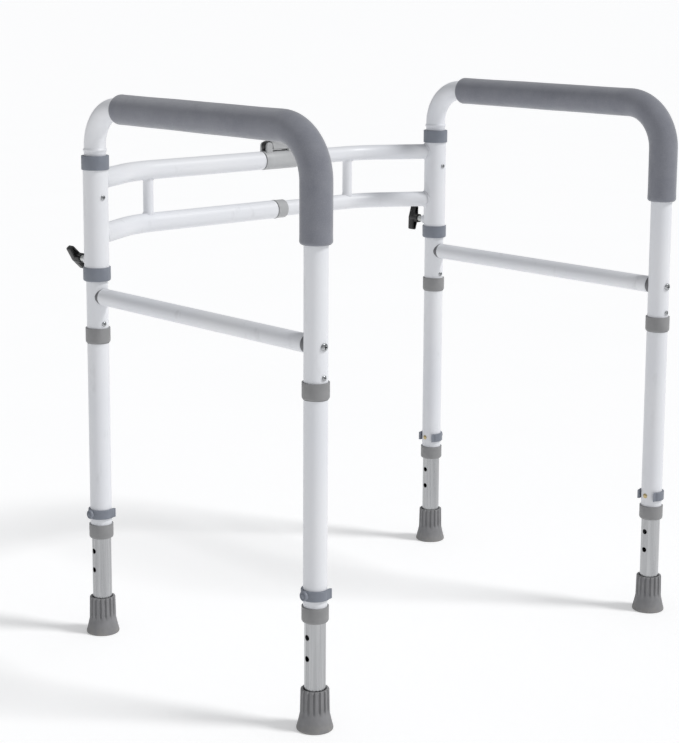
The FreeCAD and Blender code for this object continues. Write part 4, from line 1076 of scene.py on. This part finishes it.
# ---- all pieces
def finish_nodes():
    """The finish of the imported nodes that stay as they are."""
    slots = {"inner_plastic": ["right_rail_plugs", *(f"{side}_rail_inserts" for side in SIDES)],
             "bare_steel": [f"{side}_joint_spigots" for side in SIDES],
             "satin_aluminium": [f"{side}_{end}_extension" for side in SIDES for end in ENDS]}
    for material, nodes in slots.items():
        for node in nodes:
            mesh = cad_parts[node].data
            mesh.materials.clear()
            mesh.materials.append(MATERIALS[material])


def make_pieces():
    """Every visible piece, side by side and then the shared ones."""
    for side in SIDES:
        make_handrail(side)
        make_foam(side)
        make_side_rail(side)
        make_saddles(side)
        make_screws(side)
        make_leg_collars(side)
        make_clips(side)
        for end in ENDS:
            make_lower_leg(side, end)
            make_foot(side, end)
        make_sleeve(side)
        for level in ("upper", "lower"):
            make_rail(side, level)
        make_strut(side)
        make_knob(side)
    make_shade_line_bushes()
    make_rail_collar()
    make_clamp()
    finish_nodes()


# ---- studio
def lay_floor():
    """A plain pale floor, wide enough to run up to the horizon."""
    mesh = bpy.data.meshes.new("floor")
    reach = FLOOR_REACH
    mesh.from_pydata([(-reach, -reach, 0), (reach, -reach, 0), (reach, reach, 0),
                      (-reach, reach, 0)], [], [(0, 1, 2, 3)])
    finish = Finish("floor_paint", IOR=1.45, Specular_IOR_Level=0.1,
                    Emission_Color=WHITE, Emission_Strength=FLOOR_GLOW)
    finish.colour(finish.blend(finish.noise(3.0, 3.0), screen(243, 243, 243),
                               screen(245, 245, 245)))
    finish.roughness(0.8)
    mesh.materials.append(finish.material)
    floor = bpy.data.objects.new("floor", mesh)
    place(floor)


def light_studio():
    """A white backdrop that lights evenly and softly, and one broad light from the front."""
    world = bpy.data.worlds.new("studio")
    world.use_nodes = True
    tree = world.node_tree
    sky = tree.nodes["Background"]
    sky.inputs["Color"].default_value = SKY_TINT
    sky.inputs["Strength"].default_value = SKY
    backdrop = tree.nodes.new("ShaderNodeBackground")
    seen = tree.nodes.new("ShaderNodeLightPath")
    mix = tree.nodes.new("ShaderNodeMixShader")
    tree.links.new(seen.outputs["Is Camera Ray"], mix.inputs["Fac"])
    tree.links.new(sky.outputs["Background"], mix.inputs[1])
    tree.links.new(backdrop.outputs["Background"], mix.inputs[2])
    tree.links.new(mix.outputs["Shader"], tree.nodes["World Output"].inputs["Surface"])
    backdrop.inputs["Color"].default_value = WHITE
    bpy.context.scene.world = world
    key = bpy.data.lights.new("key", "SUN")
    key.energy = KEY_POWER
    key.angle = math.radians(KEY_SOFTNESS)
    lamp = bpy.data.objects.new("key", key)
    lamp.rotation_euler = Vector(KEY_WAY).to_track_quat("-Z", "Y").to_euler()
    place(lamp)
    bpy.context.scene.view_settings.view_transform = "Standard"


def aim_camera():
    """A camera in front, to the left and above, turned by heading, pitch and roll."""
    heading, pitch, roll = (math.radians(angle) for angle in CAMERA_TURN)
    forward = np.array([math.sin(heading) * math.cos(pitch),
                        math.cos(heading) * math.cos(pitch), -math.sin(pitch)])
    level = np.array([math.cos(heading), -math.sin(heading), 0.0])
    upward = np.cross(level, forward)
    right = level * math.cos(roll) + upward * math.sin(roll)
    upward = upward * math.cos(roll) - level * math.sin(roll)
    data = bpy.data.cameras.new("camera")
    data.lens = CAMERA_LENS
    data.shift_y = CAMERA_SHIFT
    camera = bpy.data.objects.new("camera", data)
    turn = Matrix(np.stack([right, upward, -forward], 1).tolist())
    camera.matrix_world = Matrix.Translation(CAMERA_AT) @ turn.to_4x4()
    place(camera)
    bpy.context.scene.camera = camera


make_pieces()
lay_floor()
light_studio()
aim_camera()
